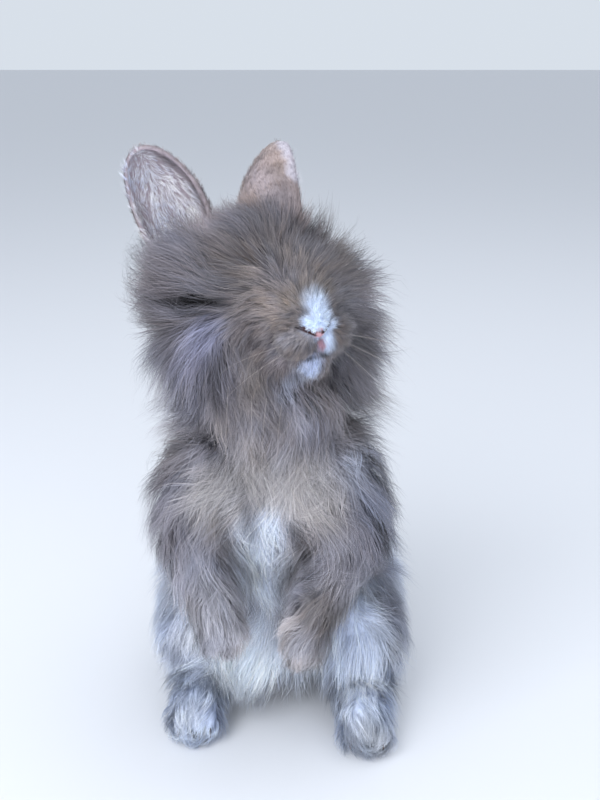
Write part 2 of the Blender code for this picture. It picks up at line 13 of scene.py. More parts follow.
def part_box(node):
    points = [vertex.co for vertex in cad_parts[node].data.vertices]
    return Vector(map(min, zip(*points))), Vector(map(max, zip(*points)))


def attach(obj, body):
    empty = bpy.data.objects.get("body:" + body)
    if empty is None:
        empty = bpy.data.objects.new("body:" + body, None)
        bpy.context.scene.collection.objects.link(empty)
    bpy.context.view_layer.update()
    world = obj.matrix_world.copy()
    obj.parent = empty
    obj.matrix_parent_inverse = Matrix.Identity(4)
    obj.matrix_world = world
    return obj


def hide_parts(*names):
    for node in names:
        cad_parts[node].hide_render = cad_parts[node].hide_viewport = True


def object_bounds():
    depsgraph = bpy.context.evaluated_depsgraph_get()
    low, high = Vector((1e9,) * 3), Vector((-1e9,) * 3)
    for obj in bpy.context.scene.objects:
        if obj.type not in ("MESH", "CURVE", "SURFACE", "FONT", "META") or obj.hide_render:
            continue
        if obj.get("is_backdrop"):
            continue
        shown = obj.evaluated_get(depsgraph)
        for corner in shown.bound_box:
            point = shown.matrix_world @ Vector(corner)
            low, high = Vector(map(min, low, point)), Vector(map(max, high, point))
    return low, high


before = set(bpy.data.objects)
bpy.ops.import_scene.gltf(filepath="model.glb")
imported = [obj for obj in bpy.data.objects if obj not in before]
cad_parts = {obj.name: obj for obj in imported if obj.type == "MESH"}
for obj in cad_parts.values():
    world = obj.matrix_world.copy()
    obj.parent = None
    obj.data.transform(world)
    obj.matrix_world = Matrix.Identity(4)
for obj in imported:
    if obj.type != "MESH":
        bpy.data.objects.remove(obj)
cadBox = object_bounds()         # before anything is added
mm = 0.001
rng = np.random.default_rng(21)
scene = bpy.context.scene

head = {
    "centre": (-5, 4, 198),
    "turnLeft": 28,         # degrees
    "chinUp": 14,
    "tilt": -6,
    "noseReach": 44,        # middle of the head to the tip of the nose
}

eyes = {
    "radius": 5.5,
    "aside": 18.5,
    "forward": 2,
    "up": 5,
    "lid": 1.5,             # thickness of the lids
    "opening": 1.7,         # nearly shut
    "slit": 4.7,            # half the length of the opening
    "iris": "#2E1A12",
    "rim": "#3A2C2E",
}

headTurn = Matrix.Rotation(math.radians(head["turnLeft"]), 4, "Z")
headTurn = headTurn @ Matrix.Rotation(math.radians(-head["chinUp"]), 4, "X")
headTurn = headTurn @ Matrix.Rotation(math.radians(head["tilt"]), 4, "Y")

# The frame's origin lies elsewhere, so the middle of an eye says how far everything moves
lowest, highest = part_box("eye_left")
eyePlace = Vector((eyes["aside"], -eyes["forward"], eyes["up"]))
shift = (lowest + highest) / 2 - (Vector(head["centre"]) + headTurn @ eyePlace) * mm


def spot(x, y, z):
    return Vector((x, y, z)) * mm + shift


headPlace = Matrix.Translation(spot(*head["centre"])) @ headTurn


def headSpot(x, y, z):          # -y runs to the nose
    return headPlace @ (Vector((x, y, z)) * mm)


def eyeMiddle(side):
    return headSpot(side * eyes["aside"], -eyes["forward"], eyes["up"])


def newPiece(name, bm):
    mesh = bpy.data.meshes.new(name)
    bm.to_mesh(mesh)
    bm.free()
    piece = bpy.data.objects.new(name, mesh)
    scene.collection.objects.link(piece)
    return piece


def applyModifiers(piece):
    graph = bpy.context.evaluated_depsgraph_get()
    mesh = bpy.data.meshes.new_from_object(piece.evaluated_get(graph))
    piece.modifiers.clear()
    piece.data = mesh


def melt(piece, voxel, smoothing):          # joins overlapping balls into one smooth closed form
    remesh = piece.modifiers.new("melt", "REMESH")
    remesh.mode = "VOXEL"
    remesh.voxel_size = voxel * mm
    smooth = piece.modifiers.new("smooth", "SMOOTH")
    smooth.iterations = smoothing
    applyModifiers(piece)


def combine(piece, other, operation):
    boolean = piece.modifiers.new("combine", "BOOLEAN")
    boolean.operation = operation
    boolean.solver = "MANIFOLD"
    boolean.object = other
    applyModifiers(piece)
    bpy.data.objects.remove(other, do_unlink=True)


def linear(hexCode):
    parts = [int(hexCode[i:i + 2], 16) / 255 for i in (1, 3, 5)]
    return [c / 12.92 if c <= 0.04045 else ((c + 0.055) / 1.055) ** 2.4 for c in parts]


def addNode(tree, kind, settings=None, links=None):
    node = tree.nodes.new(kind)
    for key, value in (settings or {}).items():
        if key in node.inputs:
            node.inputs[key].default_value = value
        else:
            setattr(node, key, value)
    for key, socket in (links or {}).items():
        tree.links.new(socket, node.inputs[key])
    return node


def newMaterial(name, colour, settings):          # the colour is a hex code or the name of an attribute
    material = bpy.data.materials.new(name)
    material.use_nodes = True
    tree, inputs = material.node_tree, material.node_tree.nodes["Principled BSDF"].inputs
    if colour.startswith("#"):
        inputs["Base Color"].default_value = (*linear(colour), 1)
    else:
        tone = addNode(tree, "ShaderNodeAttribute", {"attribute_name": colour})
        tree.links.new(tone.outputs["Color"], inputs["Base Color"])
    for key, value in settings.items():
        inputs[key].default_value = value
    return material


def addGrain(material, scale, detail, strength, distance):          # fine bumps, the same from every side
    tree = material.node_tree
    where = addNode(tree, "ShaderNodeTexCoord")
    grain = addNode(tree, "ShaderNodeTexNoise", {"Scale": scale, "Detail": detail},
                    {"Vector": where.outputs["Object"]})
    bump = addNode(tree, "ShaderNodeBump", {"Strength": strength, "Distance": distance},
                   {"Height": grain.outputs["Fac"]})
    tree.links.new(bump.outputs["Normal"], tree.nodes["Principled BSDF"].inputs["Normal"])


def readArray(items, key, width, kind=np.float32):
    values = np.empty(len(items) * width, kind)
    items.foreach_get(key, values)
    return values.reshape(-1, width)


def writeArray(items, key, values, kind=np.float32):
    items.foreach_set(key, values.reshape(-1).astype(kind))


def setTones(mesh, name, tones):
    layer = mesh.color_attributes.new(name, "FLOAT_COLOR", "POINT")
    writeArray(layer.data, "color", np.column_stack([tones, np.ones(len(tones))]))


def finishPiece(piece, material, slot, *nodes):
    piece.data.materials.clear()
    piece.data.materials.append(material)
    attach(piece, "root")
    if nodes:
        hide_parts(*nodes)
    print(piece.name, len(piece.data.polygons), "faces")


# Flesh: rows of balls along each limb, melted into one skin
flesh = []


def addBall(part, place, radii, turned=None):
    flesh.append((part, place, [r * mm for r in radii], turned or Matrix.Identity(4)))


def addRow(part, places, sizes, steps=5):
    for i in range(len(places) - 1):
        for step in range(steps + 1):
            t = step / steps
            radii = Vector(sizes[i]).lerp(Vector(sizes[i + 1]), t)
            addBall(part, places[i].lerp(places[i + 1], t), radii)


def armPlaces(side):
    pawX = -6 + side * 16.5
    return [
        spot(side * 30 - 3, -8, 126),
        spot(side * 33 - 3, -18, 98),
        spot(pawX + side * 4, -40, 80),
        spot(pawX, -45, 67.5 - side * 3),
    ]


def footPlaces(side):
    return [spot(side * 33.5, 18 - 4 * side, 12.5), spot(side * 38.5, -21 - 4 * side, 11.5)]


# How far each toe lies aside and reaches forward
toeRows = [((toe - 1.5) * 4.6, 8.5 - 0.9 * (toe - 1.5) ** 2) for toe in range(4)]


def layFlesh():
    trunk = [spot(0, 44, 46), spot(-1, 26, 78), spot(-2, 10, 116), spot(-3, 7, 134)]
    addRow("torso", trunk, [(34, 34, 40), (34, 32, 40), (31, 28, 30), (26, 21, 14)])
    addRow("neck", [trunk[3], trunk[3].lerp(spot(*head["centre"]), 0.6)], [(24, 22, 14), (22, 21, 18)])
    addBall("torso", spot(-9, 4, 42), (14, 13, 15))
    addRow("tail", [spot(0, 82, 26), spot(0, 100, 32)], [[6.5] * 3, [5.5] * 3])
    addBall("crown", headSpot(0, 8, 6), (21, 26, 22), headTurn)
    addBall("crown", headSpot(-21, 13, 9), (11, 13, 14), headTurn)
    addBall("brow", headSpot(0, -5, 2), (21, 21, 17), headTurn)
    reach = head["noseReach"]
    addRow("muzzle", [headSpot(0, -14, -3), headSpot(0, 13 - reach, -8.5)], [[14.5] * 3, [8.5] * 3])
    addRow("jaw", [headSpot(0, -6, -18), headSpot(0, -28, -21.5)], [[12.5] * 3, [7] * 3])
    addBall("muzzle", headSpot(-0.5, 4.8 - reach, -11.5), (4.8, 4.5, 4.4), headTurn)
    for side in (-1, 1):
        addBall("cheek", headSpot(side * (16 + side * 2), 9, -9), (14.5, 18, 15), headTurn)
        addBall("muzzle", headSpot(side * 5.8, 10 - reach, -14.5), (6.8, 7, 6.4), headTurn)
        addBall("brow", eyeMiddle(side), [eyes["radius"] + eyes["lid"]] * 3)
        shoulder, elbow, wrist, paw = armPlaces(side)
        addRow("torso", [spot(side * 12 - 3, -4, 116), shoulder], [[17] * 3, [12] * 3])
        addRow("upperArm", [shoulder, elbow], [[12.5] * 3, [11] * 3])
        addRow("forearm", [elbow, wrist], [[9] * 3, [6.2] * 3])
        addRow("forepaw", [wrist, paw], [[5.4] * 3, [6] * 3])
        hock, toes = footPlaces(side)
        hip = spot(side * 35.5, 34, 44)
        knee = spot(side * 39, 2 - 4 * side, 40)
        addRow("thigh", [hip, knee], [(16, 26, 27), (13, 13, 19)])
        addRow("thigh", [knee, hock.lerp(toes, 0.45) + Vector((0, 0, 0.012))], [[12] * 3, [9.5] * 3])
        addRow("foot", [hock, toes], [[10.5] * 3, [9.6] * 3])
        for aside, reachOut in toeRows:
            addBall("foot", toes + Vector((aside, -reachOut, -3.6)) * mm, (3.0, 6.5, 5.0))
            addBall("forepaw", paw + Vector((aside * 0.55, -1.5, -2.6 - 0.15 * reachOut)) * mm, (1.9, 2.2, 3.4))


ears = {
    "length": 54,
    "width": 33,
    "thickness": 1.7,
    "right": ((-36, 13, 209), (-58, 26, 254), (-1, -1.1, 0.1)),     # base, tip, way that the cup faces
    "left": ((5, 22, 209), (-1, 48, 253), (1, 0.35, 0.1)),
    "cupHair": "#D9D9E9",
    "rimHair": "#FFFFFF",
    "cupSkin": "#968A92",
}


def earFrame(word):
    base, tip, facing = ears[word]
    base, tip = spot(*base), spot(*tip)
    up = (tip - base).normalized()
    facing = headTurn.to_3x3() @ Vector(facing)
    facing = (facing - up * facing.dot(up)).normalized()
    return base, up, facing


# By share of the ear's length: the cup's radius and half angle, and how far its middle lies out
def earRoll(t):
    t = np.asarray(t, dtype=float)
    upper = 0.06 + 0.94 * np.sqrt(np.clip(1 - ((t - 0.45) / 0.55) ** 2, 0, 1))
    share = np.where(t < 0.45, 0.62 + 0.38 * np.sin(math.pi * t / 0.9), upper)
    spread = np.radians(102 - 38 * t)
    radius = 0.5 * ears["width"] * share / np.sin(np.minimum(spread, math.pi / 2))
    return radius, spread, radius * np.cos(spread) - 0.1 * ears["length"] * np.sin(math.pi * t)


def earPlace(word, t, fraction):
    base, up, facing = earFrame(word)
    radius, spread, middle = earRoll(t)
    out = middle - radius * math.cos(spread * fraction)
    aside = up.cross(facing) * float(radius * math.sin(spread * fraction))
    return base + (up * t * ears["length"] + facing * float(out) + aside) * mm


# 1 where a place faces the hollow of the ear, and its share of the ear's length
def earCup(word, points, normals):
    base, up, facing = [np.array(v) for v in earFrame(word)]
    gap = (points - base) / mm
    t = np.clip(gap @ up / ears["length"], 0, 1)
    middle = up * (t * ears["length"])[:, None] + facing * earRoll(t)[2][:, None]
    return np.clip(3 * np.sum(normals * unit(middle - gap), axis=1) - 0.4, 0, 1), t


def unit(vectors):
    return vectors / np.maximum(np.linalg.norm(vectors, axis=-1, keepdims=True), 1e-9)


def modelEar(word):         # a grid rolled about its length into a cup, with a wall
    bm = bmesh.new()
    bmesh.ops.create_grid(bm, x_segments=34, y_segments=22, size=1)
    for v in bm.verts:
        v.co = earPlace(word, math.sin(math.pi / 4 * (v.co.x + 1)), v.co.y)
    bm.normal_update()          # the wall is laid along these normals
    bmesh.ops.solidify(bm, geom=bm.faces[:], thickness=ears["thickness"] * mm)
    bmesh.ops.recalc_face_normals(bm, faces=bm.faces)
    return newPiece("ear", bm)


faceLines = {           # in the head's own measure: places along each line, and its half width
    "nostrilRight": (((-1.6, -43, -14.2), (-5.0, -41, -11.6), (-7.8, -38.5, -8.8)), 0.85),
    "nostrilLeft": (((0.2, -43, -13.8), (4.2, -41, -11.8), (8.4, -38.0, -8.4)), 0.6),
    "cleft": (((-0.8, -43, -14.4), (-0.4, -41, -18), (-0.4, -38, -21.6)), 0.5),
    "mouthRight": (((-0.4, -38, -21.6), (-4.0, -36, -22.6), (-8.5, -31, -23.6)), 0.5),
    "mouthLeft": (((-0.4, -38, -21.6), (3.2, -36, -22.4), (7.5, -31, -23.6)), 0.5),
}


def followLine(name, steps=12):
    start, middle, end = [Vector(p) for p in faceLines[name][0]]
    shares = [i / steps for i in range(steps + 1)]
    return [start * (1 - t) ** 2 + middle * 2 * t * (1 - t) + end * t * t for t in shares]


def faceCuts(skin):         # nostrils, cleft lip, mouth and the openings of the lids
    mesh = skin.data
    surface = BVHTree.FromPolygons([v.co for v in mesh.vertices], [f.vertices for f in mesh.polygons])
    bm = bmesh.new()
    for name, (_, thick) in faceLines.items():
        for i, place in enumerate(followLine(name)):
            middle = Matrix.Translation(surface.find_nearest(headSpot(*place))[0])
            size = thick * (1.15 - 0.05 * i) * mm
            bmesh.ops.create_icosphere(bm, subdivisions=2, radius=size, matrix=middle @ headTurn)
    for side in (-1, 1):
        turned = Matrix.Translation(eyeMiddle(side)) @ eyeTurn(side)
        socket = (eyes["radius"] + 0.1) * mm
        bmesh.ops.create_icosphere(bm, subdivisions=4, radius=socket, matrix=turned)
        slit = Matrix.Diagonal((eyes["slit"] * mm, eyes["opening"] / 2 * mm, 4 * mm, 1))
        lift = Matrix.Translation((0, 0, eyes["radius"] * mm))
        bmesh.ops.create_icosphere(bm, subdivisions=4, radius=1, matrix=turned @ lift @ slit)
    cuts = newPiece("cuts", bm)
    melt(cuts, *skinShape["cuts"])
    return cuts


def eyeTurn(side):          # z looks out, x runs to the corner by the nose
    out = Vector((side * 0.94, -0.32, 0.10)).normalized()
    noseWay = Vector((side * -0.32, -0.94, -0.12))
    noseWay = (noseWay - out * noseWay.dot(out)).normalized()
    return headTurn @ Matrix((noseWay, out.cross(noseWay), out)).transposed().to_4x4()


skinShape = {           # voxel in mm and rounds of smoothing of each form
    "body": (1.25, 5),
    "cuts": (0.3, 1),
    "unwrapAngle": 72,
    "unwrapGap": 0.004,
}


def settle(piece):          # faces and their corners in one order, the same in every run
    faces = []
    for face in piece.data.polygons:
        corners = list(face.vertices)
        first = corners.index(min(corners))
        faces.append(corners[first:] + corners[:first])
    settled = bpy.data.meshes.new(piece.name)
    settled.from_pydata([v.co[:] for v in piece.data.vertices], [], sorted(faces))
    piece.data = settled


def modelSkin():
    layFlesh()
    bm = bmesh.new()
    for part, place, radii, turned in flesh:
        shape = Matrix.Translation(place) @ turned @ Matrix.Diagonal((*radii, 1))
        bmesh.ops.create_icosphere(bm, subdivisions=3, radius=1, matrix=shape)
    skin = newPiece("skin", bm)
    melt(skin, *skinShape["body"])
    for word in ("right", "left"):
        combine(skin, modelEar(word), "UNION")
        settle(skin)
    combine(skin, faceCuts(skin), "DIFFERENCE")
    settle(skin)
    skin.data.shade_smooth()
    bpy.context.view_layer.objects.active = skin
    skin.select_set(True)
    bpy.ops.object.mode_set(mode="EDIT")
    bpy.ops.mesh.select_all(action="SELECT")
    angle = math.radians(skinShape["unwrapAngle"])
    bpy.ops.uv.smart_project(angle_limit=angle, island_margin=skinShape["unwrapGap"])
    bpy.ops.object.mode_set(mode="OBJECT")
    skin.data.uv_layers[0].name = "OFBake"
    return skin


skin = modelSkin()

# Which part a place belongs to: shares that sum to one and blend over a few millimetres
partNames = ["torso", "neck", "tail", "crown", "brow", "muzzle", "jaw", "cheek"]
partNames += ["upperArm", "forearm", "forepaw", "thigh", "foot", "earRight", "earLeft"]
for word in ("right", "left"):
    for step in range(6):
        for fraction in (-0.9, -0.45, 0, 0.45, 0.9):
            place = earPlace(word, 0.1 + 0.18 * step, fraction)
            flesh.append(("ear" + word.capitalize(), place, [3.5 * mm] * 3, None))
ballPlaces = np.array([ball[1] for ball in flesh])
ballSizes = np.array([sum(ball[2]) / 3 for ball in flesh])
ballParts = np.array([partNames.index(ball[0]) for ball in flesh])


def partShares(points, blend=3.0):
    shares = np.zeros((len(points), len(partNames)))
    for part in range(len(partNames)):
        mine = ballParts == part
        gaps = np.linalg.norm(points[:, None] - ballPlaces[mine], axis=2) - ballSizes[mine]
        shares[:, part] = np.exp(-gaps.min(axis=1) / (blend * mm))
    return shares / shares.sum(axis=1, keepdims=True)


def drift(points, size, seed):          # smooth noise from -1 to 1 with features of about that size
    waves = np.random.default_rng(seed)
    total = np.zeros(len(points))
    for _ in range(7):
        way = waves.normal(size=3)
        way *= 2 * math.pi / (size * mm) / np.linalg.norm(way) * waves.uniform(0.5, 1.1)
        total += np.sin(points @ way + waves.uniform(0, 6.3))
    return total / 3.2


# Wool of each part: length and how far the tips stand off the skin, in mm, then middle and tip colours
wool = {
    "torso": (36, 22, "#86838B", "#ACA8AE"),
    "neck": (34, 19, "#736E75", "#9F9BA2"),
    "tail": (24, 12, "#8C8892", "#B4B1BC"),
    "crown": (28, 18, "#5A565C", "#817C83"),
    "brow": (12, 6, "#645E61", "#8E8684"),
    "muzzle": (4.5, 2.0, "#625C60", "#8D8584"),
    "jaw": (20, 10, "#67626A", "#938D92"),
    "cheek": (36, 26, "#5C5A65", "#888693"),
    "upperArm": (30, 11, "#66626A", "#8D8990"),
    "forearm": (32, 10, "#85828B", "#AFACB5"),
    "forepaw": (15, 6.5, "#9C99A1", "#C8C5CD"),
    "thigh": (28, 14, "#BCC4D6", "#DBE0EE"),
    "foot": (15, 7, "#AFB8CC", "#CED6E7"),
    "earRight": (3.4, 1.0, "#84787A", "#A69999"),
    "earLeft": (3.4, 1.0, "#9A8B8A", "#C0B0AD"),
}
rootDepth = 0.36            # dark under-wool keeps this share of the middle colour, and pale wool more

# Marks on the coat, some of them painted shade or light: from, to, reach in mm, how much of the colour is laid
# on, then middle and tip colours
# white wool with a painted blue cast, the colour of the shade light
whiteInBlueShade = ("#C6D6F2", "#DEEAFF")
cream = ("#8F8B92", "#B0ACB3")
brown = ("#6E655F", "#978B81")
# painted shade: the dark colour laid in creases, in gaps under overhanging wool and on the crown
paintedShade = ("#47444B", "#66636B")
pale = ("#A4ADC4", "#C6D0E6")
lilac = ("#C3CBDD", "#E3E9F6")
marks = {
    "blaze": (headSpot(0.6, -42, -12), headSpot(3.2, -36, -1.0), 4.8, 1.0, *whiteInBlueShade),
    "blazeFoot": (headSpot(-3.6, -41, -10), headSpot(5.2, -41, -10), 3.6, 1.0, *whiteInBlueShade),
    "leftLip": (headSpot(3.6, -39, -16), headSpot(3.6, -37, -20), 3.2, 1.0, *whiteInBlueShade),
    "chin": (headSpot(-2.5, -36, -25.5), headSpot(-3.8, -33, -29), 3.8, 0.95, "#A3B0D0", "#C2CDE9"),
    "muzzleLeft": (headSpot(11, -35, -13), headSpot(13, -29, -21), 6, 0.8, "#5F5C63", "#86838B"),
    # painted light: the far cheek is paler, standing in for light from behind it
    "backlitCheekLeft": (spot(24, -4, 192), spot(18, -4, 170), 14, 0.75, "#85828C", "#AEABB5"),
    "neckTan": (spot(-22, -28, 150), spot(-8, -32, 141), 6, 0.5, "#84786F", "#ADA299"),
    "chinTrail": (headSpot(-4, -31, -31), headSpot(-9, -23, -36), 5.0, 0.55, *pale),
    "rightLip": (headSpot(-6, -40, -14.5), headSpot(-13, -36, -13.5), 3.4, 0.7, *cream),
    "noseBridge": (headSpot(-5, -34, 2), headSpot(10, -32, 2), 5.0, 0.5, *brown),
    # painted shade along the closed eye's crease, under the overhanging brow wool
    "eyeCreaseShade": (spot(-31, -9, 201), spot(-45, 0, 200), 3.0, 1.0, *paintedShade),
    "eyeCreaseShadeFront": (spot(-29, -21, 204.5), spot(-44, -12, 203), 3.2, 1.0, *paintedShade),
    "underEyeFront": (spot(-28, -23, 199), spot(-44, -13, 197), 3.0, 0.5, "#9391A0", "#BBBBCA"),
    "cheekShade": (spot(-21, -28, 172), spot(-24, -29, 160), 6, 0.85, "#49464E", "#646069"),
    # painted shade in the corner of the eye and in the cheek's fold
    "eyeCornerShade": (headSpot(-27, -13, 6.5), headSpot(-25, -15, 5), 2.4, 0.7, *paintedShade),
    "cheekFoldShade": (headSpot(-31, -2, 0.5), headSpot(-34, 8, 1.5), 2.2, 0.6, *paintedShade),
    "underEye": (headSpot(-33, -4, 3), headSpot(-40, 10, 4), 2.6, 0.5, "#8C8A96", "#B4B4C2"),
    "cheekLocks": (spot(-29, -23, 191), spot(-37, -17, 172), 7, 0.85, "#8486A0", "#A9ABC4"),
    "lowLocks": (spot(-37, -17, 172), spot(-36, -18, 156), 8, 0.5, "#7A7B8E", "#A0A1B4"),
    "cheekEdge": (headSpot(-20, -22, -22), headSpot(-24, -14, -40), 6, 0.5, *brown),
    "chestLight": (spot(-28, -32, 124), spot(16, -30, 124), 14, 0.55, "#A39F9F", "#CDC9C8"),
    "chestStrip": (spot(-7, -30, 106), spot(-9, -24, 50), 10, 1.0, "#CCD8F1", "#EEF4FF"),
    # painted shade: dark streaks under the chest wool where it overhangs the forelegs
    "chestShadeRight": (spot(-13, -32, 122), spot(-10, -32, 106), 3.4, 0.6, *paintedShade),
    "chestShadeLeft": (spot(7, -32, 108), spot(11, -34, 92), 4.4, 0.7, *paintedShade),
    "lobeRight": (spot(-34, -44, 80), spot(-14, -48, 68), 6.5, 0.35, *brown),
    "lobeLeft": (spot(5, -48, 90), spot(19, -50, 76), 8, 0.6, *brown),
    "lobeStreak": (spot(-26, -46, 92), spot(-22, -50, 70), 8, 0.75, "#A9A8B2", "#D3D2DC"),
    "shoulderLeft": (spot(36, -24, 132), spot(42, -21, 118), 10, 0.8, "#9297A9", "#BDC3D4"),
    "shoulderRight": (spot(-36, -20, 138), spot(-42, -16, 116), 9, 0.6, "#94929E", "#C0BECA"),
    "mouthPink": (headSpot(0.4, -40, -17.5), headSpot(1.2, -38, -21), 1.6, 0.9, "#9A6E7C", "#B58794"),
    # painted shade in the crease of the mouth
    "mouthShadeRight": (headSpot(-0.4, -38, -22.2), headSpot(-7, -34, -24), 1.0, 0.8, *paintedShade),
    "mouthShadeLeft": (headSpot(-0.4, -38, -22.2), headSpot(6, -34, -23.6), 1.0, 0.8, *paintedShade),
    "sideRight": (spot(-52, -20, 112), spot(-54, -10, 84), 16, 0.55, "#726F79", "#94919C"),
    "sideLeft": (spot(48, -25, 114), spot(54, -12, 72), 16, 0.75, "#5E5F6C", "#83869A"),
    # white wool with a painted blue cast, the colour of the shade light
    "groin": (spot(-19, -18, 33), spot(0, -16, 27), 13, 1.0, "#E0EEFF", "#F6FAFF"),
    "innerThigh": (spot(28, -20, 58), spot(34, -20, 30), 15, 1.0, "#D2DDF3", "#ECF1FD"),
    "betweenLegs": (spot(9, -14, 40), spot(9, -12, 22), 12, 0.9, *lilac),
    "outerThigh": (spot(54, 0, 74), spot(54, -5, 34), 9, 0.75, "#6B6C7C", "#8E90A4"),
    "outerThighRight": (spot(-54, 2, 62), spot(-52, -8, 36), 9, 0.5, "#9295A6", "#B2B6C6"),
    "earFold": (earPlace("right", 0.2, 0.9), earPlace("right", 0.9, 0.85), 4.2, 0.9, "#85797C", "#A3989A"),
    "earRim": (spot(-27, 12, 226), spot(-44, 22, 257), 9, 0.9, "#8A7E82", "#A99DA0"),
    "earStrip": (earPlace("left", 0.6, -0.95), earPlace("left", 0.95, -0.85), 3.2, 0.75,
                 "#C9C5D2", "#E2DFEA"),
    "crownShade": (spot(-18, 6, 232), spot(14, 4, 222), 12, 0.35, *paintedShade),
}

earParts = [partNames.index("earRight"), partNames.index("earLeft")]
headParts = ("crown", "brow", "muzzle", "cheek", "jaw")


def lineGap(points, start, end):            # how far each place lies from a line
    start, line = np.array(start), np.array(end - start)
    t = np.clip((points - start) @ line / max(line @ line, 1e-12), 0, 1)
    return np.linalg.norm(points - start - t[:, None] * line, axis=1)


def woolColours(points, normals, onEars):          # root, middle and tip colour at each place
    shares = partShares(points)
    if not onEars:
        shares[:, earParts] *= 1e-6
        shares /= shares.sum(axis=1, keepdims=True)
    tones = np.array([[linear(code) for code in wool[name][2:]] for name in partNames])
    colours = np.einsum("np,pkc->nkc", shares, tones)
    cup = np.array([linear(ears["cupHair"]), linear(ears["rimHair"])])
    for word, part in zip(("right", "left"), earParts):
        inCup = earCup(word, points, normals)[0] * shares[:, part]
        colours += (cup - colours) * inCup[:, None, None]
    patches = 1 + 0.17 * drift(points, 26, 3) + 0.17 * drift(points, 9, 4)
    warmth = 0.045 * drift(points, 20, 7)
    colours *= (patches[:, None] * (1 + warmth[:, None] * np.array((1, 0.2, -1.2))))[:, None, :]
    for start, end, reach, amount, *codes in marks.values():
        gap = lineGap(points, start, end) / (reach * mm)
        gap += 0.16 * drift(points, 5, 9)
        share = amount * np.clip((1.4 - gap) / 0.75, 0, 1)
        colours += (np.array([linear(code) for code in codes]) - colours) * share[:, None, None]
    depth = rootDepth + 0.55 * colours[:, 0].mean(axis=1)
    return np.concatenate([colours[:, :1] * depth[:, None, None], colours], axis=1)


def woolLie(points, normals, shares, turn):           # the way that the wool is combed at each place
    own = (points - np.array(shift)) / mm
    side = np.tanh(own[:, 0] / 6)
    down = np.tile((0.0, 0.0, -1.0), (len(points), 1))
    lies = {name: down.copy() for name in partNames}
    lies["torso"] += np.stack([0.22 * side, 0.2 + 0.006 * np.maximum(0, own[:, 1]), 0 * side], 1)
    lies["neck"] += 0.3 * normals
    lies["tail"] = np.stack([own[:, 0] * 0.03, 1 + 0 * side, -0.15 + 0 * side], 1)
    nose = np.array(headSpot(0, -head["noseReach"], -8))
    away = unit(points - nose)
    far = np.linalg.norm(points - nose, axis=1) / mm
    low = np.clip((head["centre"][2] - 2 - own[:, 2]) / 14, 0, 1)
    droop = 0.1 + low * np.clip(0.07 * far - 1.6, 0, 2.6)
    for name in headParts:
        lies[name] = away + down * droop[:, None]
    for word in ("Right", "Left"):
        lies["ear" + word] = np.tile(np.array(earFrame(word.lower())[1]), (len(points), 1))
    for s in (-1, 1):
        arm = armPlaces(s)
        here = (side * s > 0)[:, None]
        for i, (name, hang, aside) in enumerate((("upperArm", 0.8, (s * 0.5, -0.3, 0)),
                                                 ("forearm", 1.1, (0, 0, 0)), ("forepaw", 0.8, (0, 0, 0)))):
            lies[name] = np.where(here, unit(np.array(arm[i + 1] - arm[i])) + down * hang + aside, lies[name])
    lies["thigh"] += np.stack([0.3 * side, -0.25 + 0 * side, 0 * side], 1)
    lies["foot"] = np.stack([0.12 * side, -1 + 0 * side, -0.25 + 0 * side], 1)
    lie = sum(shares[:, [i]] * lies[name] for i, name in enumerate(partNames))
    lie = unit(lie - normals * np.sum(lie * normals, axis=1, keepdims=True))
    calm = np.clip(far / 40, 0.15, 1)
    swing = (0.34 * drift(points, 34, 5) + 0.26 * drift(points, 12, 6) + turn) * calm
    across = np.cross(normals, lie)
    return unit(lie * np.cos(swing)[:, None] + across * np.sin(swing)[:, None])


faceWool = {        # by distance from the nose
    "far": (0, 7, 14, 24, 34, 46, 60),
    "length": (2.6, 4.2, 6.5, 10, 18, 30, 38),
    "stand": (0.4, 0.8, 1.8, 4.4, 10.5, 22, 27),
    "aside": 0.34,           # how much deeper the wool is on the sides of the head
    "tufted": [             # deeper still below the ear and on the far cheek: from, to, reach, mm more
        (spot(-38, 14, 218), spot(-34, 14, 200), 16, 5),
        (spot(16, -8, 194), spot(14, 0, 178), 20, 17),
        (spot(27, -8, 126), spot(24, -6, 130), 14, -6),
        (spot(-34, -6, 144), spot(-34, -6, 134), 12, 4),
    ],
}

shadedPartings = {           # painted shade in the partings between locks and in creases: start, end, way in to the skin, reach in mm, amount, bend in mm
    "lids": (spot(-20, -21, 204.0), spot(-54, 8, 199.6), (0.75, 0.66, 0), 1.8, 0.85, -0.8),
    "underLid": (spot(-25, -20, 198.8), spot(-42, -9, 197.6), (0.75, 0.66, 0), 1.3, 0.6, -0.6),
    "mouth": (headSpot(-7, -32, -23.6), headSpot(5.5, -33, -23.4), (0, 0.9, 0.1), 0.7, 0.55, -1.2),
    "cheekGap": (spot(-20, -26, 186), spot(-25, -27, 158), (0.3, 0.95, 0), 2.2, 0.6, 2),
    "lockGap": (spot(-27, -23, 184), spot(-31, -22, 160), (0.5, 0.85, 0), 1.5, 0.65, 1),
    "outerGap": (spot(-37, -14, 182), spot(-39, -13, 160), (0.8, 0.6, 0), 1.5, 0.6, -1),
    "chestRight": (spot(-14, -34, 128), spot(-9, -32, 100), (0, 1, 0), 2.2, 0.4, 2),
    "chestLeft": (spot(5, -34, 112), spot(14, -36, 84), (0, 1, 0), 2.6, 0.5, -2),
    "armRight": (spot(-33, -40, 96), spot(-14, -42, 72), (0, 1, 0), 1.8, 0.35, 3),
    "chestMiddle": (spot(-24, -34, 112), spot(-16, -34, 92), (0, 1, 0), 2.2, 0.4, 2),
    "stripSide": (spot(-3, -30, 92), spot(0, -30, 70), (0, 1, 0), 1.6, 0.4, -1),
}


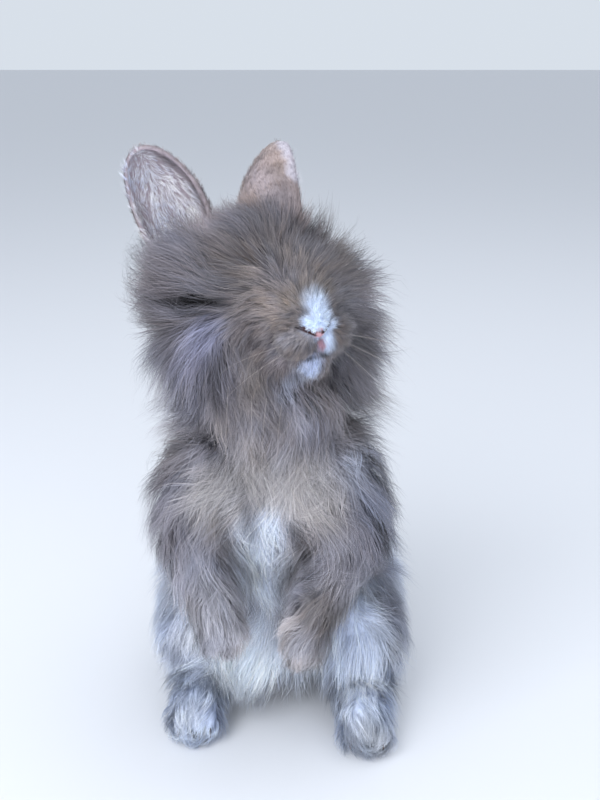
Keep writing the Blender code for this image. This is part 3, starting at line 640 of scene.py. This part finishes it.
def foldShade(points):          # how much painted shade each place gets from lying in a parting
    total = np.zeros(len(points))
    for start, end, inward, reach, amount, bend in shadedPartings.values():
        start, line = np.array(start), np.array(end - start)
        out = -np.array(inward) / np.linalg.norm(inward)
        sideways = unit(np.cross(line, out)[None])[0]
        gap = points - start
        t = gap @ line / (line @ line)
        off = np.abs(gap @ sideways / mm - bend * 4 * t * (1 - t))
        height = gap @ out / mm
        here = np.clip((0.5 - np.abs(t - 0.5)) / 0.15 + 0.3, 0, 1)
        here *= np.clip((18 - np.abs(height)) / 4, 0, 1)
        total = np.maximum(total, amount * here * np.clip((1.5 * reach - off) / reach, 0, 1))
    return total


nose = {"pink": "#B98E96", "slit": "#33171A", "centre": (-0.7, -43, -14)}


def bareSkin(points):           # how much each place is nose leather, dark slit, or rim of a lid
    bared = np.linalg.norm(points - np.array(headSpot(*nose["centre"])), axis=1) / mm
    pink = np.clip((3.0 - bared) / 1.2, 0, 1)
    slit = np.zeros(len(points))
    for name, (_, thick) in faceLines.items():
        line = np.array([headSpot(*p) for p in followLine(name)])
        gap = np.linalg.norm(points[:, None] - line, axis=2).min(axis=1) / mm
        if name == "cleft":
            pink = np.maximum(pink, np.clip((2.4 - gap) / 1.2, 0, 1))
        dark = 1.0 if "nostril" in name else 0.6
        slit = np.maximum(slit, np.clip((thick + 0.45 - gap) / 0.4, 0, 1) * dark)
    rim = np.zeros(len(points))
    for side in (-1, 1):
        turned = np.array((Matrix.Translation(eyeMiddle(side)) @ eyeTurn(side)).inverted())
        own = (points @ turned[:3, :3].T + turned[:3, 3]) / mm
        edge = np.hypot(own[:, 0] / (eyes["slit"] + 0.8), own[:, 1] / (eyes["opening"] / 2 + 0.9))
        rim = np.maximum(rim, np.where(own[:, 2] > 2, np.clip((1.15 - edge) / 0.3, 0, 1), 0))
    return pink, slit, rim


def readSkin(skin):
    mesh = skin.data
    mesh.calc_loop_triangles()
    corners = readArray(mesh.loop_triangles, "vertices", 3, np.int32)
    loops = readArray(mesh.loop_triangles, "loops", 3, np.int32)
    places = readArray(mesh.vertices, "co", 3)
    facing = readArray(mesh.vertex_normals, "vector", 3)
    bake = readArray(mesh.uv_layers["OFBake"].data, "uv", 2)
    tri = places[corners]
    areas = np.linalg.norm(np.cross(tri[:, 1] - tri[:, 0], tri[:, 2] - tri[:, 0]), axis=1) / 2
    return {"tri": tri, "normals": facing[corners], "bake": bake[loops], "areas": areas,
            "places": places, "facing": facing}


def treeOf(faces):
    return BVHTree.FromPolygons(skinData["tri"].reshape(-1, 3).tolist(), faces.tolist())


skinData = readSkin(skin)
triCorners = np.arange(len(skinData["tri"]) * 3).reshape(-1, 3)
triMiddles = skinData["tri"].mean(axis=1)
triParts = partShares(triMiddles).argmax(axis=1)
triOwn = (triMiddles - np.array(shift)) / mm
skinTree = treeOf(triCorners)
woolTree = treeOf(triCorners[~np.isin(triParts, earParts)])          # long wool is laid over all but the ears
print("skin area", round(float(skinData["areas"].sum()) * 1e6), "mm2")

bareWeight = 1 - np.clip(sum(bareSkin(triMiddles)), 0, 1)
toNose = np.linalg.norm(triMiddles - np.array(headSpot(0, -head["noseReach"], -9)), axis=1)
nearNose = 1 + 3 * np.clip(1 - toNose / (28 * mm), 0, 1)


def nearestOnSkin(points, tree):
    found = [tree.find_nearest(p) for p in points.tolist()]
    return np.array([f[0] for f in found]), np.array([f[1] for f in found])


bodyPoints, bodyFaces = [], []
for name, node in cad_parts.items():
    if not name.startswith(("eye", "ear")):
        first = len(bodyPoints)
        bodyPoints += [v.co for v in node.data.vertices]
        bodyFaces += [[first + i for i in face.vertices] for face in node.data.polygons]
bodyTree = BVHTree.FromPolygons(bodyPoints, bodyFaces)


def roomOutside(point, normal):         # how far the solid coat reaches off the skin, in mm
    reach, start = 0, point
    for _ in range(10):
        hit, hitNormal, _, _ = bodyTree.ray_cast(start, normal, 0.06)
        if hit is None:
            break
        far = (hit - point).length / mm
        if hitNormal.dot(normal) > 0:
            reach = far
        elif far - reach > 3:
            break
        start = hit + normal * 1e-5
    return reach


def measureCoat(count=2600):
    picks = rng.choice(len(triMiddles), count, p=skinData["areas"] / skinData["areas"].sum())
    tree = KDTree(count)
    rooms = np.zeros(count)
    for i, pick in enumerate(picks):
        normal = Vector(unit(skinData["normals"][pick].mean(axis=0)))
        rooms[i] = roomOutside(Vector(triMiddles[pick]), normal)
        tree.insert(triMiddles[pick], i)
    tree.balance()
    return tree, rooms


roomTree, rooms = measureCoat()


def coatRoom(points):           # smoothed over the neighbouring locks
    found = [[near[1] for near in roomTree.find_n(p, 9)] for p in points.tolist()]
    return rooms[np.array(found)].mean(axis=1)


def nearCapsule(points, start, end, reach):         # 1 on the line from start to end, 0 past its reach
    return np.clip(1.2 - lineGap(points, start, end) / (reach * mm), 0, 1)


# How long the wool is and how far its tips stand off the skin, in mm
def woolSizes(points, shares, normals):
    length = shares @ np.array([wool[p][0] for p in partNames], dtype=float)
    stand = shares @ np.array([wool[p][1] for p in partNames], dtype=float)
    local = (np.column_stack([points, np.ones(len(points))]) @ np.array(headPlace.inverted()).T)[:, :3] / mm
    far = np.linalg.norm(local - np.array((0, -head["noseReach"], -9)), axis=1)
    inHead = sum(shares[:, partNames.index(p)] for p in headParts)
    aside = np.clip((np.abs(local[:, 0]) - 8) / 14, 0, 1)
    top = np.clip((local[:, 2] - 8) / 16, 0, 1) * np.clip((far - 24) / 16, 0, 1)
    faceStand = np.interp(far, faceWool["far"], faceWool["stand"])
    faceStand *= 1 + faceWool["aside"] * aside
    faceStand *= 1 - 0.58 * top
    faceLength = np.interp(far, faceWool["far"], faceWool["length"])
    faceLength *= 1 + 0.2 * aside
    faceLength *= 1 - 0.3 * top
    length = length * (1 - inHead) + faceLength * inHead
    stand = stand * (1 - inHead) + faceStand * inHead
    room = coatRoom(points)
    inEars = shares[:, earParts].sum(axis=1)
    fitted = np.clip(1.2 * room + 1, 0.8 * stand, 1.2 * stand + 1)
    stand = stand * inEars + fitted * (1 - inEars)
    stand *= 1 - 0.4 * nearCapsule(points, *marks["eyeCreaseShade"][:2], 15)
    for start, end, reach, more in faceWool["tufted"]:
        extra = more * nearCapsule(points, start, end, reach)
        length, stand = length + extra, stand + extra
    stand *= 1 - 0.45 * (1 - inHead - inEars) * np.clip(normals[:, 2] * 1.4, 0, 1)
    belly = nearCapsule(points, spot(-16, 12, 44), spot(2, 12, 44), 22)
    lines = np.array([headSpot(*p) for name in faceLines for p in followLine(name, 6)])
    near = np.linalg.norm(points[:, None] - lines, axis=2).min(axis=1) / mm
    trim = np.clip(0.25 + near / 6, 0, 1)
    length, stand = length * (1 + 0.3 * belly) * trim, stand * (1 + 0.35 * belly) * trim
    return np.maximum(length, 1.12 * stand), stand


# Spines of the tufts from root to tip, and the way out from the skin at each point
def combGuides(roots, normals, lengths, depths, swing, steps, tree):
    travel = np.sqrt(np.maximum(lengths ** 2 - depths ** 2, (0.3 * lengths) ** 2))
    spines, ways = [roots - normals * 0.6 * mm], [normals]
    place, under, up, before = roots, roots, normals, 0.0
    for step in range(1, steps):
        t = step / (steps - 1)
        run = woolLie(under, up, partShares(under), swing)
        stand, standBefore = (depths * (1 - (1 - k) ** 1.7) for k in (t, before))
        along = travel * (t ** 1.15 - before ** 1.15)
        ahead = place + (run * along[:, None] + up * (stand - standBefore)[:, None]) * mm
        under, faceNormal = nearestOnSkin(ahead, tree)
        gap = ahead - under
        height = np.sum(gap * faceNormal, axis=1) / mm
        outward = np.where((height > 0.5)[:, None], unit(gap), faceNormal)
        height = np.where(height > 0, np.linalg.norm(gap, axis=1) / mm, 0)
        height = np.clip(height, 0.8 * stand, 1.15 * stand + 1)
        step = under + outward * height[:, None] * mm - place
        most = (1.3 * np.sqrt(along ** 2 + (stand - standBefore) ** 2) + 0.8) * mm
        size = np.maximum(np.linalg.norm(step, axis=1), 1e-9)
        place = place + step * np.minimum(1, most / size)[:, None]
        up = unit(up + 0.6 * faceNormal)
        before = t
        spines.append(place)
        ways.append(outward)
    return np.stack(spines, axis=1), np.stack(ways, axis=1)


mostOutside = 4.5           # mm that a hair may end outside the box of the solid model


def keepInside(points):         # eases the longest hairs back towards that box
    low, high = np.array(cadBox[0]), np.array(cadBox[1])
    middle, half = (low + high) / 2, (high - low) / 2
    over = np.maximum(np.abs(points - middle) - half, 0)
    limit = mostOutside * mm
    return points - np.sign(points - middle) * (over - limit * np.tanh(over / limit))


def partWay(values, rows, at):            # values part of the way from one step to the next
    low = np.clip(at.astype(int), 0, values.shape[1] - 2)
    part = (at - low).reshape(at.shape + (1,) * (values.ndim - 2))
    return values[rows, low] * (1 - part) + values[rows, low + 1] * part


def stopAtSkin(guides):         # a tuft that would pass through an ear or a limb ends in front of it
    steps = guides.shape[1]
    kept = np.ones(len(guides))
    for i, guide in enumerate(guides.tolist()):
        for k in range(1, steps - 1):
            start, run = Vector(guide[k]), Vector(guide[k + 1]) - Vector(guide[k])
            hit = skinTree.ray_cast(start, run, run.length)[3]
            if hit is not None:
                kept[i] = (k + 0.9 * hit / max(run.length, 1e-9)) / (steps - 1)
                break
    return partWay(guides, np.arange(len(guides))[:, None], kept[:, None] * np.arange(steps))


def toBlades(values):           # both edges of a hair share a value, and its tip has one
    return np.concatenate([np.repeat(values[:, :-1], 2, axis=1), values[:, -1:]], axis=1)


def scatterRoots(tufts, chosen):            # random places on the chosen skin, closer together near the nose
    weights = skinData["areas"] * chosen * nearNose * bareWeight
    picks = rng.choice(len(weights), tufts, p=weights / weights.sum())
    a, b = np.sqrt(rng.random(tufts)), rng.random(tufts)
    bary = np.stack([1 - a, a * (1 - b), a * b], axis=1)[:, :, None]
    roots, normals, bake = [(skinData[key][picks] * bary).sum(axis=1) for key in ("tri", "normals", "bake")]
    return roots, unit(normals), bake


def buildBlades(name, spine, half):         # each hair is a thin blade that ends in one point
    total, steps = spine.shape[:2]
    left, right = spine - half, spine + half
    pairs = np.stack([left[:, :-1], right[:, :-1]], axis=2).reshape(total, -1, 3)
    points = np.concatenate([pairs, spine[:, -1:]], axis=1)
    perHair = points.shape[1]
    faces = [(2 * k, 2 * k + 1, 2 * k + 3, 2 * k + 2) for k in range(steps - 2)]
    tip = [2 * steps - 4, 2 * steps - 3, 2 * steps - 2]
    cornersOfHair = np.array([i for face in faces for i in face] + tip)
    corners = (np.arange(total)[:, None] * perHair + cornersOfHair).reshape(-1)
    sizes = np.tile([4] * (steps - 2) + [3], total)
    mesh = bpy.data.meshes.new(name)
    mesh.vertices.add(total * perHair)
    writeArray(mesh.vertices, "co", points)
    mesh.loops.add(len(corners))
    writeArray(mesh.loops, "vertex_index", corners, np.int32)
    mesh.polygons.add(len(sizes))
    writeArray(mesh.polygons, "loop_start", np.cumsum(sizes) - sizes, np.int32)
    mesh.update(calc_edges=True)
    mesh.shade_smooth()
    return mesh, corners


bakePatch = 0.003           # each tuft bakes on a patch of this size, at its root's place on the skin's unwrap


def layBake(mesh, corners, bake, each, t):
    tuft = np.repeat(np.arange(len(bake)), each)
    hair = np.tile(np.arange(each), len(bake))[:, None]
    beside = np.append(np.tile([0.0, 1.0], len(t) - 1), 0.5)
    alongHair = np.append(np.repeat(t[:-1], 2), 1.0)
    u = bake[tuft, 0][:, None] + ((hair + beside) / each - 0.5) * bakePatch
    v = bake[tuft, 1][:, None] + (alongHair - 0.5) * bakePatch
    uv = np.clip(np.stack([u, v], axis=2), 0, 1).reshape(-1, 2)[corners]
    mesh.uv_layers.new(name="OFBake")
    writeArray(mesh.uv_layers["OFBake"].data, "uv", uv)


def growWool(name, plan, chosen, material, slot):
    tufts, steps, each = plan["tufts"], plan["points"], plan["hairs"]
    onEars = plan.get("onEars", False)
    roots, normals, bake = scatterRoots(tufts, chosen)
    shares = partShares(roots)
    lengths, depths = woolSizes(roots, shares, normals)
    if onEars:          # the cups are filled with longer, softer hair
        isRight = shares[:, earParts[0]] > shares[:, earParts[1]]
        inCup, upEar = np.where(isRight, earCup("right", roots, normals), earCup("left", roots, normals))
        atTip = 1 - 0.5 * np.clip(upEar * 4 - 3, 0, 1)
        lengths = np.where(inCup > 0.3, np.clip(lengths * 2, 4, 8), lengths) * atTip
        depths = np.where(inCup > 0.3, np.clip(depths * 2, 1.2, 3), depths) * atTip
    lengths *= rng.uniform(*plan["lengthRange"], tufts)
    depths *= rng.uniform(*plan["standRange"], tufts)

    # neighbouring tufts lean together into locks
    locks = max(2, tufts // plan["lock"])
    lockOf = rng.choice(tufts, locks, replace=False)
    lockTree = KDTree(locks)
    for i, root in enumerate(roots[lockOf].tolist()):
        lockTree.insert(root, i)
    lockTree.balance()
    nearest = np.array([lockTree.find(r)[1] for r in roots.tolist()])
    swing = rng.normal(0, plan["lockSwing"], locks)[nearest] + rng.normal(0, plan["tuftSwing"], tufts)
    guides, ways = combGuides(roots, normals, lengths, depths, swing, steps, skinTree if onEars else woolTree)
    lead = guides[lockOf][nearest]
    t = np.linspace(0, 1, steps)
    gather = plan["gather"] * rng.uniform(0.4, 1.3, locks)[nearest]
    apart = np.linalg.norm(lead[:, 0] - guides[:, 0], axis=1) / mm
    near = np.clip(1.6 - apart / plan["lockReach"], 0, 1)
    guides = guides + (lead - guides) * ((gather * near)[:, None] * t ** 1.5)[:, :, None]
    phase = rng.uniform(0, 6.3, tufts)
    sideways = unit(np.cross(normals, guides[:, -1] - guides[:, 0]))
    wave = np.sin(phase[:, None] + t * plan["waves"] * 6.28) * plan["waveHeight"] * mm * t
    guides = guides + sideways[:, None] * wave[:, :, None]
    if not onEars:
        guides = keepInside(guides)
    guides = stopAtSkin(guides)
    colours = woolColours(guides.reshape(-1, 3), np.repeat(normals, steps, axis=0), onEars)
    colours = colours.reshape(tufts, steps, 3, 3)
    # painted light and shade: tufts near a lock's middle are lighter and those at its edge darker, as if the
    # gaps between locks lay in shade
    litMiddleShadedEdge = 0.35 - np.clip(apart / plan["lockReach"], 0, 1.2)
    lockTone = rng.normal(1, plan["lockShade"], locks).clip(0.6, 1.4)[nearest] * (1 + plan["lockLightAndShade"] * litMiddleShadedEdge)
    lockWarmth = rng.normal(0, 0.05, locks)[nearest]

    # hairs: each follows its tuft and ends near its tip
    total = tufts * each
    tuft = np.repeat(np.arange(tufts), each)
    share = rng.uniform(plan["shortest"], 1.06, total)
    share[::each] = 1.0
    rows, at = tuft[:, None], share[:, None] * t * (steps - 1)
    spine, outward = partWay(guides, rows, at), unit(partWay(ways, rows, at))
    layers = partWay(colours, rows, at)
    angle = rng.uniform(0, 6.3, total)
    out = np.sqrt(rng.random(total)) * plan["spread"] * mm
    forward = unit(np.cross(sideways, normals))[tuft]
    offset = (np.cos(angle) * out)[:, None] * sideways[tuft] + (np.sin(angle) * out)[:, None] * forward
    stray = rng.random(total) < plan["stray"]
    clump = (plan["tuftClump"] * rng.uniform(0.2, 1.2, tufts))[tuft][:, None]
    close = np.where(stray[:, None], 1 + 1.6 * t, 1 - clump * t)
    spine = spine + offset[:, None] * close[:, :, None]
    bend = plan["splay"] * lengths[tuft, None] * np.where(stray, 1.8, 1.0)[:, None] * t ** 2 * mm
    spine = spine + sideways[tuft][:, None] * (rng.normal(0, 1, total)[:, None] * bend)[:, :, None]
    spine = spine + normals[tuft][:, None] * (rng.normal(0.1, 0.8, total)[:, None] * bend)[:, :, None]
    if not onEars:
        spine = keepInside(spine)
    spine[:, :, 2] = np.maximum(spine[:, :, 2], 0.4 * mm)

    run = np.gradient(spine, axis=1)
    roll = rng.uniform(-0.7, 0.7, total)
    flat = unit(np.cross(run, normals[tuft][:, None]))
    edge = unit(np.cross(run, flat))
    across = flat * np.cos(roll)[:, None, None] + edge * np.sin(roll)[:, None, None]
    width = plan["width"] * mm * rng.uniform(0.7, 1.3, total)[:, None] * (1 - t ** plan["taper"]) / 2
    mesh, corners = buildBlades(name, spine, across * width[:, :, None])
    layBake(mesh, corners, bake, each, t)

    # the hairs shade together as one soft coat
    own = unit(np.cross(across, run))
    facing = unit(plan["softness"] * outward + (1 - plan["softness"]) * own)
    layer = mesh.attributes.new("custom_normal", "FLOAT_VECTOR", "POINT")
    writeArray(layer.data, "vector", toBlades(facing))

    # dark roots, then the middle and the tip colour; ticked tips are darker
    lower = np.clip(t / 0.5, 0, 1)[:, None]
    upper = np.clip((t - 0.45) / 0.55, 0, 1)[:, None]
    ticked = 1 + (rng.random((total, 1, 1)) < plan["ticked"]) * np.array([[[0.75, 0.66, 0.5]]])
    tone = (layers[:, :, 0] * (1 - lower) + layers[:, :, 1] * lower) * (1 - upper)
    tone = tone + layers[:, :, 2] * ticked * upper
    shade = rng.normal(1, plan["shadeSpread"], total).clip(0.6, 1.5)
    shade *= rng.normal(1, 0.08, tufts).clip(0.7, 1.4)[tuft]
    tone *= (shade[:, None] * (1 + (lockTone[tuft, None] - 1) * t ** 0.5))[:, :, None]
    tone *= 1 + lockWarmth[tuft][:, None, None] * (1 - tone) ** 2 * np.array([[[1, 0.1, -1]]])
    # painted shade: hairs in the partings are darkened
    tone *= 1 - foldShade(spine.reshape(-1, 3)).reshape(total, steps, 1)
    setTones(mesh, "tone", np.clip(toBlades(tone), 0.003, 0.95).reshape(-1, 3))
    piece = bpy.data.objects.new(name, mesh)
    scene.collection.objects.link(piece)
    finishPiece(piece, material, slot)


# Keratin fibre: soft gloss along each hair, pale halo at the rim
softWool = newMaterial("angoraWool", "tone",
                       {"Roughness": 0.6, "Sheen Weight": 0.15, "Specular IOR Level": 0.2})
faceFur = newMaterial("shortFaceFur", "tone",
                      {"Roughness": 0.55, "Sheen Weight": 0.1, "Specular IOR Level": 0.2})

longPlan = {
    "tufts": 6600, "hairs": 4, "points": 5,         # hairs of each tuft, points along each hair
    "lengthRange": (0.7, 1.12), "standRange": (0.62, 1.12),         # shares of the part's own measures
    "width": 0.2, "taper": 1.5, "spread": 1.4, "tuftClump": 0.5, "splay": 0.06,         # mm and shares
    "lock": 22, "lockReach": 6.0,           # tufts of each lock, mm
    "lockSwing": 0.42, "tuftSwing": 0.16, "gather": 0.5,            # radians, radians, share
    "waves": 0.8, "waveHeight": 0.5, "shortest": 0.5, "stray": 0.12,
    "shadeSpread": 0.14, "ticked": 0.05, "lockShade": 0.19, "lockLightAndShade": 0.32, "softness": 0.7,
}
shortPlan = dict(longPlan, tufts=8000, points=4, width=0.15, spread=0.6, lock=9, lockReach=2.5,
                 lockSwing=0.16, tuftSwing=0.1, gather=0.3, lockShade=0.06, waveHeight=0.05,
                 splay=0.07, stray=0.05, ticked=0.14, lockLightAndShade=0.12)


def inParts(*names):
    return np.isin(triParts, [partNames.index(n) for n in names])


coats = {
    "coatChest": (dict(longPlan, lockSwing=0.6), inParts("torso") & (triOwn[:, 1] < 8), softWool, "coat_body"),
    "coatFlankRight": (dict(longPlan, tufts=4400, points=4, width=0.27),
                       inParts("torso") & (triOwn[:, 1] >= 8) & (triOwn[:, 0] < 0), softWool, "coat_body"),
    "coatFlankLeft": (dict(longPlan, tufts=4400, points=4, width=0.27),
                      inParts("torso") & (triOwn[:, 1] >= 8) & (triOwn[:, 0] >= 0), softWool, "coat_body"),
    "coatNeck": (dict(longPlan, tufts=4300), inParts("neck"), softWool, "coat_body"),
    "coatCheeks": (dict(longPlan, tufts=6700, lockSwing=0.3), inParts("cheek", "jaw"), softWool, "coat_face"),
    "coatCrown": (dict(longPlan, tufts=5600, lockSwing=0.3), inParts("crown"), softWool, "coat_face"),
    "coatFace": (shortPlan, inParts("brow", "muzzle"), faceFur, "coat_face"),
    "coatForelegs": (dict(longPlan, tufts=4800),
                     inParts("upperArm", "forearm") + 2.2 * inParts("forepaw"), softWool, "coat_foreleg"),
    "coatThighs": (dict(longPlan, tufts=4800), inParts("thigh"), softWool, "coat_hind_leg"),
    "coatFeet": (dict(longPlan, tufts=4400, points=4, spread=1.0, lockSwing=0.2),
                 inParts("foot"), softWool, "coat_hind_leg"),
    "coatTail": (dict(longPlan, tufts=1300, points=4), inParts("tail"), softWool, "coat_body"),
    "coatEars": (dict(shortPlan, tufts=5600, ticked=0.0, onEars=True), inParts("earRight", "earLeft"),
                 faceFur, "ear_skin"),
}
for name, (plan, chosen, material, slot) in coats.items():
    growWool(name, plan, chosen, material, slot)


def paintSkin():            # dark under the wool, dusky on and in the ears, pink on the nose
    places, facing = skinData["places"], skinData["facing"]
    shares = partShares(places)
    tones = woolColours(places, facing, True)
    onEar = np.clip(4 * shares[:, earParts].sum(axis=1) - 1, 0, 1)[:, None]
    tone = tones[:, 0] * 1.3 * (1 - onEar) + tones[:, 1] * 0.85 * onEar
    for word, part in zip(("right", "left"), earParts):
        inCup = np.clip(2 * earCup(word, places, facing)[0] - 1, 0, 1) * (shares[:, part] > 0.2)
        tone += (np.array(linear(ears["cupSkin"])) - tone) * inCup[:, None]
    for code, share in zip((nose["pink"], nose["slit"], eyes["rim"]), bareSkin(places)):
        tone += (np.array(linear(code)) - tone) * share[:, None]
    setTones(skin.data, "skinTone", tone)
    material = newMaterial("rabbitSkin", "skinTone", {"Roughness": 0.6})
    addGrain(material, 900.0, 3.0, 0.25, 0.0003)
    nodes = ["head", "neck", "torso", "tail"]
    limbs = ("ear", "foreleg", "forepaw", "hind_leg", "hind_foot")
    nodes += [limb + "_" + side for limb in limbs for side in ("right", "left")]
    finishPiece(skin, material, "coat_face", *nodes)


paintSkin()


def makeEyes():         # dark brown eye under a wet cornea
    material = newMaterial("darkWetEye", eyes["iris"], {"Roughness": 0.06, "Coat Weight": 1.0})
    for side, word in ((-1, "right"), (1, "left")):
        bm = bmesh.new()
        bmesh.ops.create_uvsphere(bm, u_segments=48, v_segments=32, radius=eyes["radius"] * mm,
                                  matrix=Matrix.Translation(eyeMiddle(side)) @ eyeTurn(side))
        eye = newPiece("eye" + word.capitalize(), bm)
        eye.data.shade_smooth()
        finishPiece(eye, material, "eye", "eye_" + word)


makeEyes()

whiskers = {            # start in the head's own measure, then where each ends, or the way that it runs
    "thickness": 0.09,
    "colour": "#B7ADA8",
    "hanging": [
        (spot(-19, -31, 172), spot(-20, -44, 127)), (spot(-10, -32, 168), spot(-9.5, -45, 131)),
        (spot(-4, -33, 168), spot(-6, -45, 134)), (spot(2, -32, 166), spot(0, -45, 140)),
    ],
    "sides": [
        ((7, -36, -15), (36, 2, -6)), ((8, -35, -17), (34, 4, -17)), ((8, -34, -19), (29, 2, -26)),
        ((-8, -37, -15), (-30, -4, -8)), ((-9, -36, -17), (-27, -4, -16)),
    ],
}


# A tapered hair or claw that curves down
def bendCone(bm, start, run, drop, thick, segments=5, rows=12):
    cone = bmesh.new()
    bmesh.ops.create_cone(cone, cap_ends=True, segments=segments, radius1=thick, radius2=thick * 0.12, depth=1)
    sides = [e for e in cone.edges if abs(e.verts[0].co.z - e.verts[1].co.z) > 0.5]
    bmesh.ops.subdivide_edges(cone, edges=sides, cuts=rows, use_grid_fill=True)
    turned = run.to_track_quat("Z", "Y").to_matrix()
    for v in cone.verts:
        t = v.co.z + 0.5
        aside = turned @ Vector((v.co.x, v.co.y, 0))
        v.co = start + run * (2 * t - t * t) + Vector((0, 0, drop * t * t)) + aside
    mesh = bpy.data.meshes.new("cone")
    cone.to_mesh(mesh)
    cone.free()
    bm.from_mesh(mesh)
    bpy.data.meshes.remove(mesh)


def makeWhiskers():         # stiff, pale and glossy hairs
    bm = bmesh.new()
    thick = whiskers["thickness"] / 2 * mm
    for start, end in whiskers["hanging"]:
        drop = 0.6 * (end - start).z
        bendCone(bm, start, end - start - Vector((0, 0, drop)), drop, thick)
    for start, run in whiskers["sides"]:
        bendCone(bm, headSpot(*start), Vector(run) * mm, -6 * mm, thick)
    piece = newPiece("whiskers", bm)
    piece.data.shade_smooth()
    finishPiece(piece, newMaterial("whiskerKeratin", whiskers["colour"], {"Roughness": 0.35}), "coat_face")


makeWhiskers()

claws = {"length": 4.2, "thickness": 1.0, "colour": "#5A4A44"}


def makeClaws():            # horn claws, nearly hidden by the wool of the feet
    bm = bmesh.new()
    for side in (-1, 1):
        toes, paw = footPlaces(side)[1], armPlaces(side)[3]
        for aside, reachOut in toeRows:
            start = toes + Vector((aside, -reachOut - 4.5, -4.5)) * mm
            run = Vector((aside * 0.06, -claws["length"], -1.0)) * mm
            bendCone(bm, start, run, -1.6 * mm, claws["thickness"] * mm, 8, 6)
            start = paw + Vector((aside * 0.55, -2.0, -5.4 - 0.15 * reachOut)) * mm
            run = Vector((0, -1.2, -claws["length"])) * 0.4 * mm
            bendCone(bm, start, run, 0, claws["thickness"] * 0.6 * mm, 8, 6)
    piece = newPiece("claws", bm)
    piece.data.shade_smooth()
    material = newMaterial("darkHorn", claws["colour"], {"Roughness": 0.35})
    addGrain(material, 1500.0, 2.0, 0.2, 0.0001)
    finishPiece(piece, material, "coat_hind_leg")


makeClaws()

studio = {
    "floor": "#DADBDF",
    "floorReach": 6,            # metres
    "sky": (0.84, 0.91, 1.0, 1),
    "skyStrength": 0.82,
    "lamp": (0.93, 0.96, 1.0),
    "lights": [         # name, place and size in metres, power in watts
        ("keyLight", (-0.5, -0.7, 0.8), 0.8, 10),
        ("topLight", (0.3, 0.2, 1.1), 0.9, 3),
        ("fillLight", (0.1, -0.85, 0.1), 0.6, 4.8),
    ],
    "aim": (0, 10, 120),            # where the lights point
    "camera": (9, -397, 307),
    "pitch": 69,
    "lens": 45,
    "sensor": 36,
}


def buildStudio():
    bm = bmesh.new()
    bmesh.ops.create_grid(bm, x_segments=1, y_segments=1, size=studio["floorReach"])
    floor = newPiece("floor", bm)
    floor.data.materials.append(newMaterial("paleFloor", studio["floor"], {"Roughness": 0.9}))
    floor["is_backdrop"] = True
    world = bpy.data.worlds.new("softSky")
    scene.world = world
    world.use_nodes = True
    world.node_tree.nodes["Background"].inputs["Color"].default_value = studio["sky"]
    world.node_tree.nodes["Background"].inputs["Strength"].default_value = studio["skyStrength"]
    for name, place, size, power in studio["lights"]:
        light = bpy.data.lights.new(name, "AREA")
        light.size = size
        light.energy = power
        light.color = studio["lamp"]
        lamp = bpy.data.objects.new(name, light)
        lamp.location = place
        lamp.rotation_euler = (spot(*studio["aim"]) - Vector(place)).to_track_quat("-Z", "Y").to_euler()
        scene.collection.objects.link(lamp)
    camera = bpy.data.objects.new("camera", bpy.data.cameras.new("camera"))
    camera.data.lens = studio["lens"]
    camera.data.sensor_width = studio["sensor"]
    camera.location = spot(*studio["camera"])
    camera.rotation_euler = (math.radians(studio["pitch"]), 0, 0)
    scene.collection.objects.link(camera)
    scene.camera = camera
    scene.view_settings.view_transform = "Standard"


buildStudio()


def asList(box):
    return [list(map(float, corner)) if hasattr(corner, "__len__") else float(corner) for corner in box]


{"cad": asList(cadBox), "model": asList(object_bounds())}
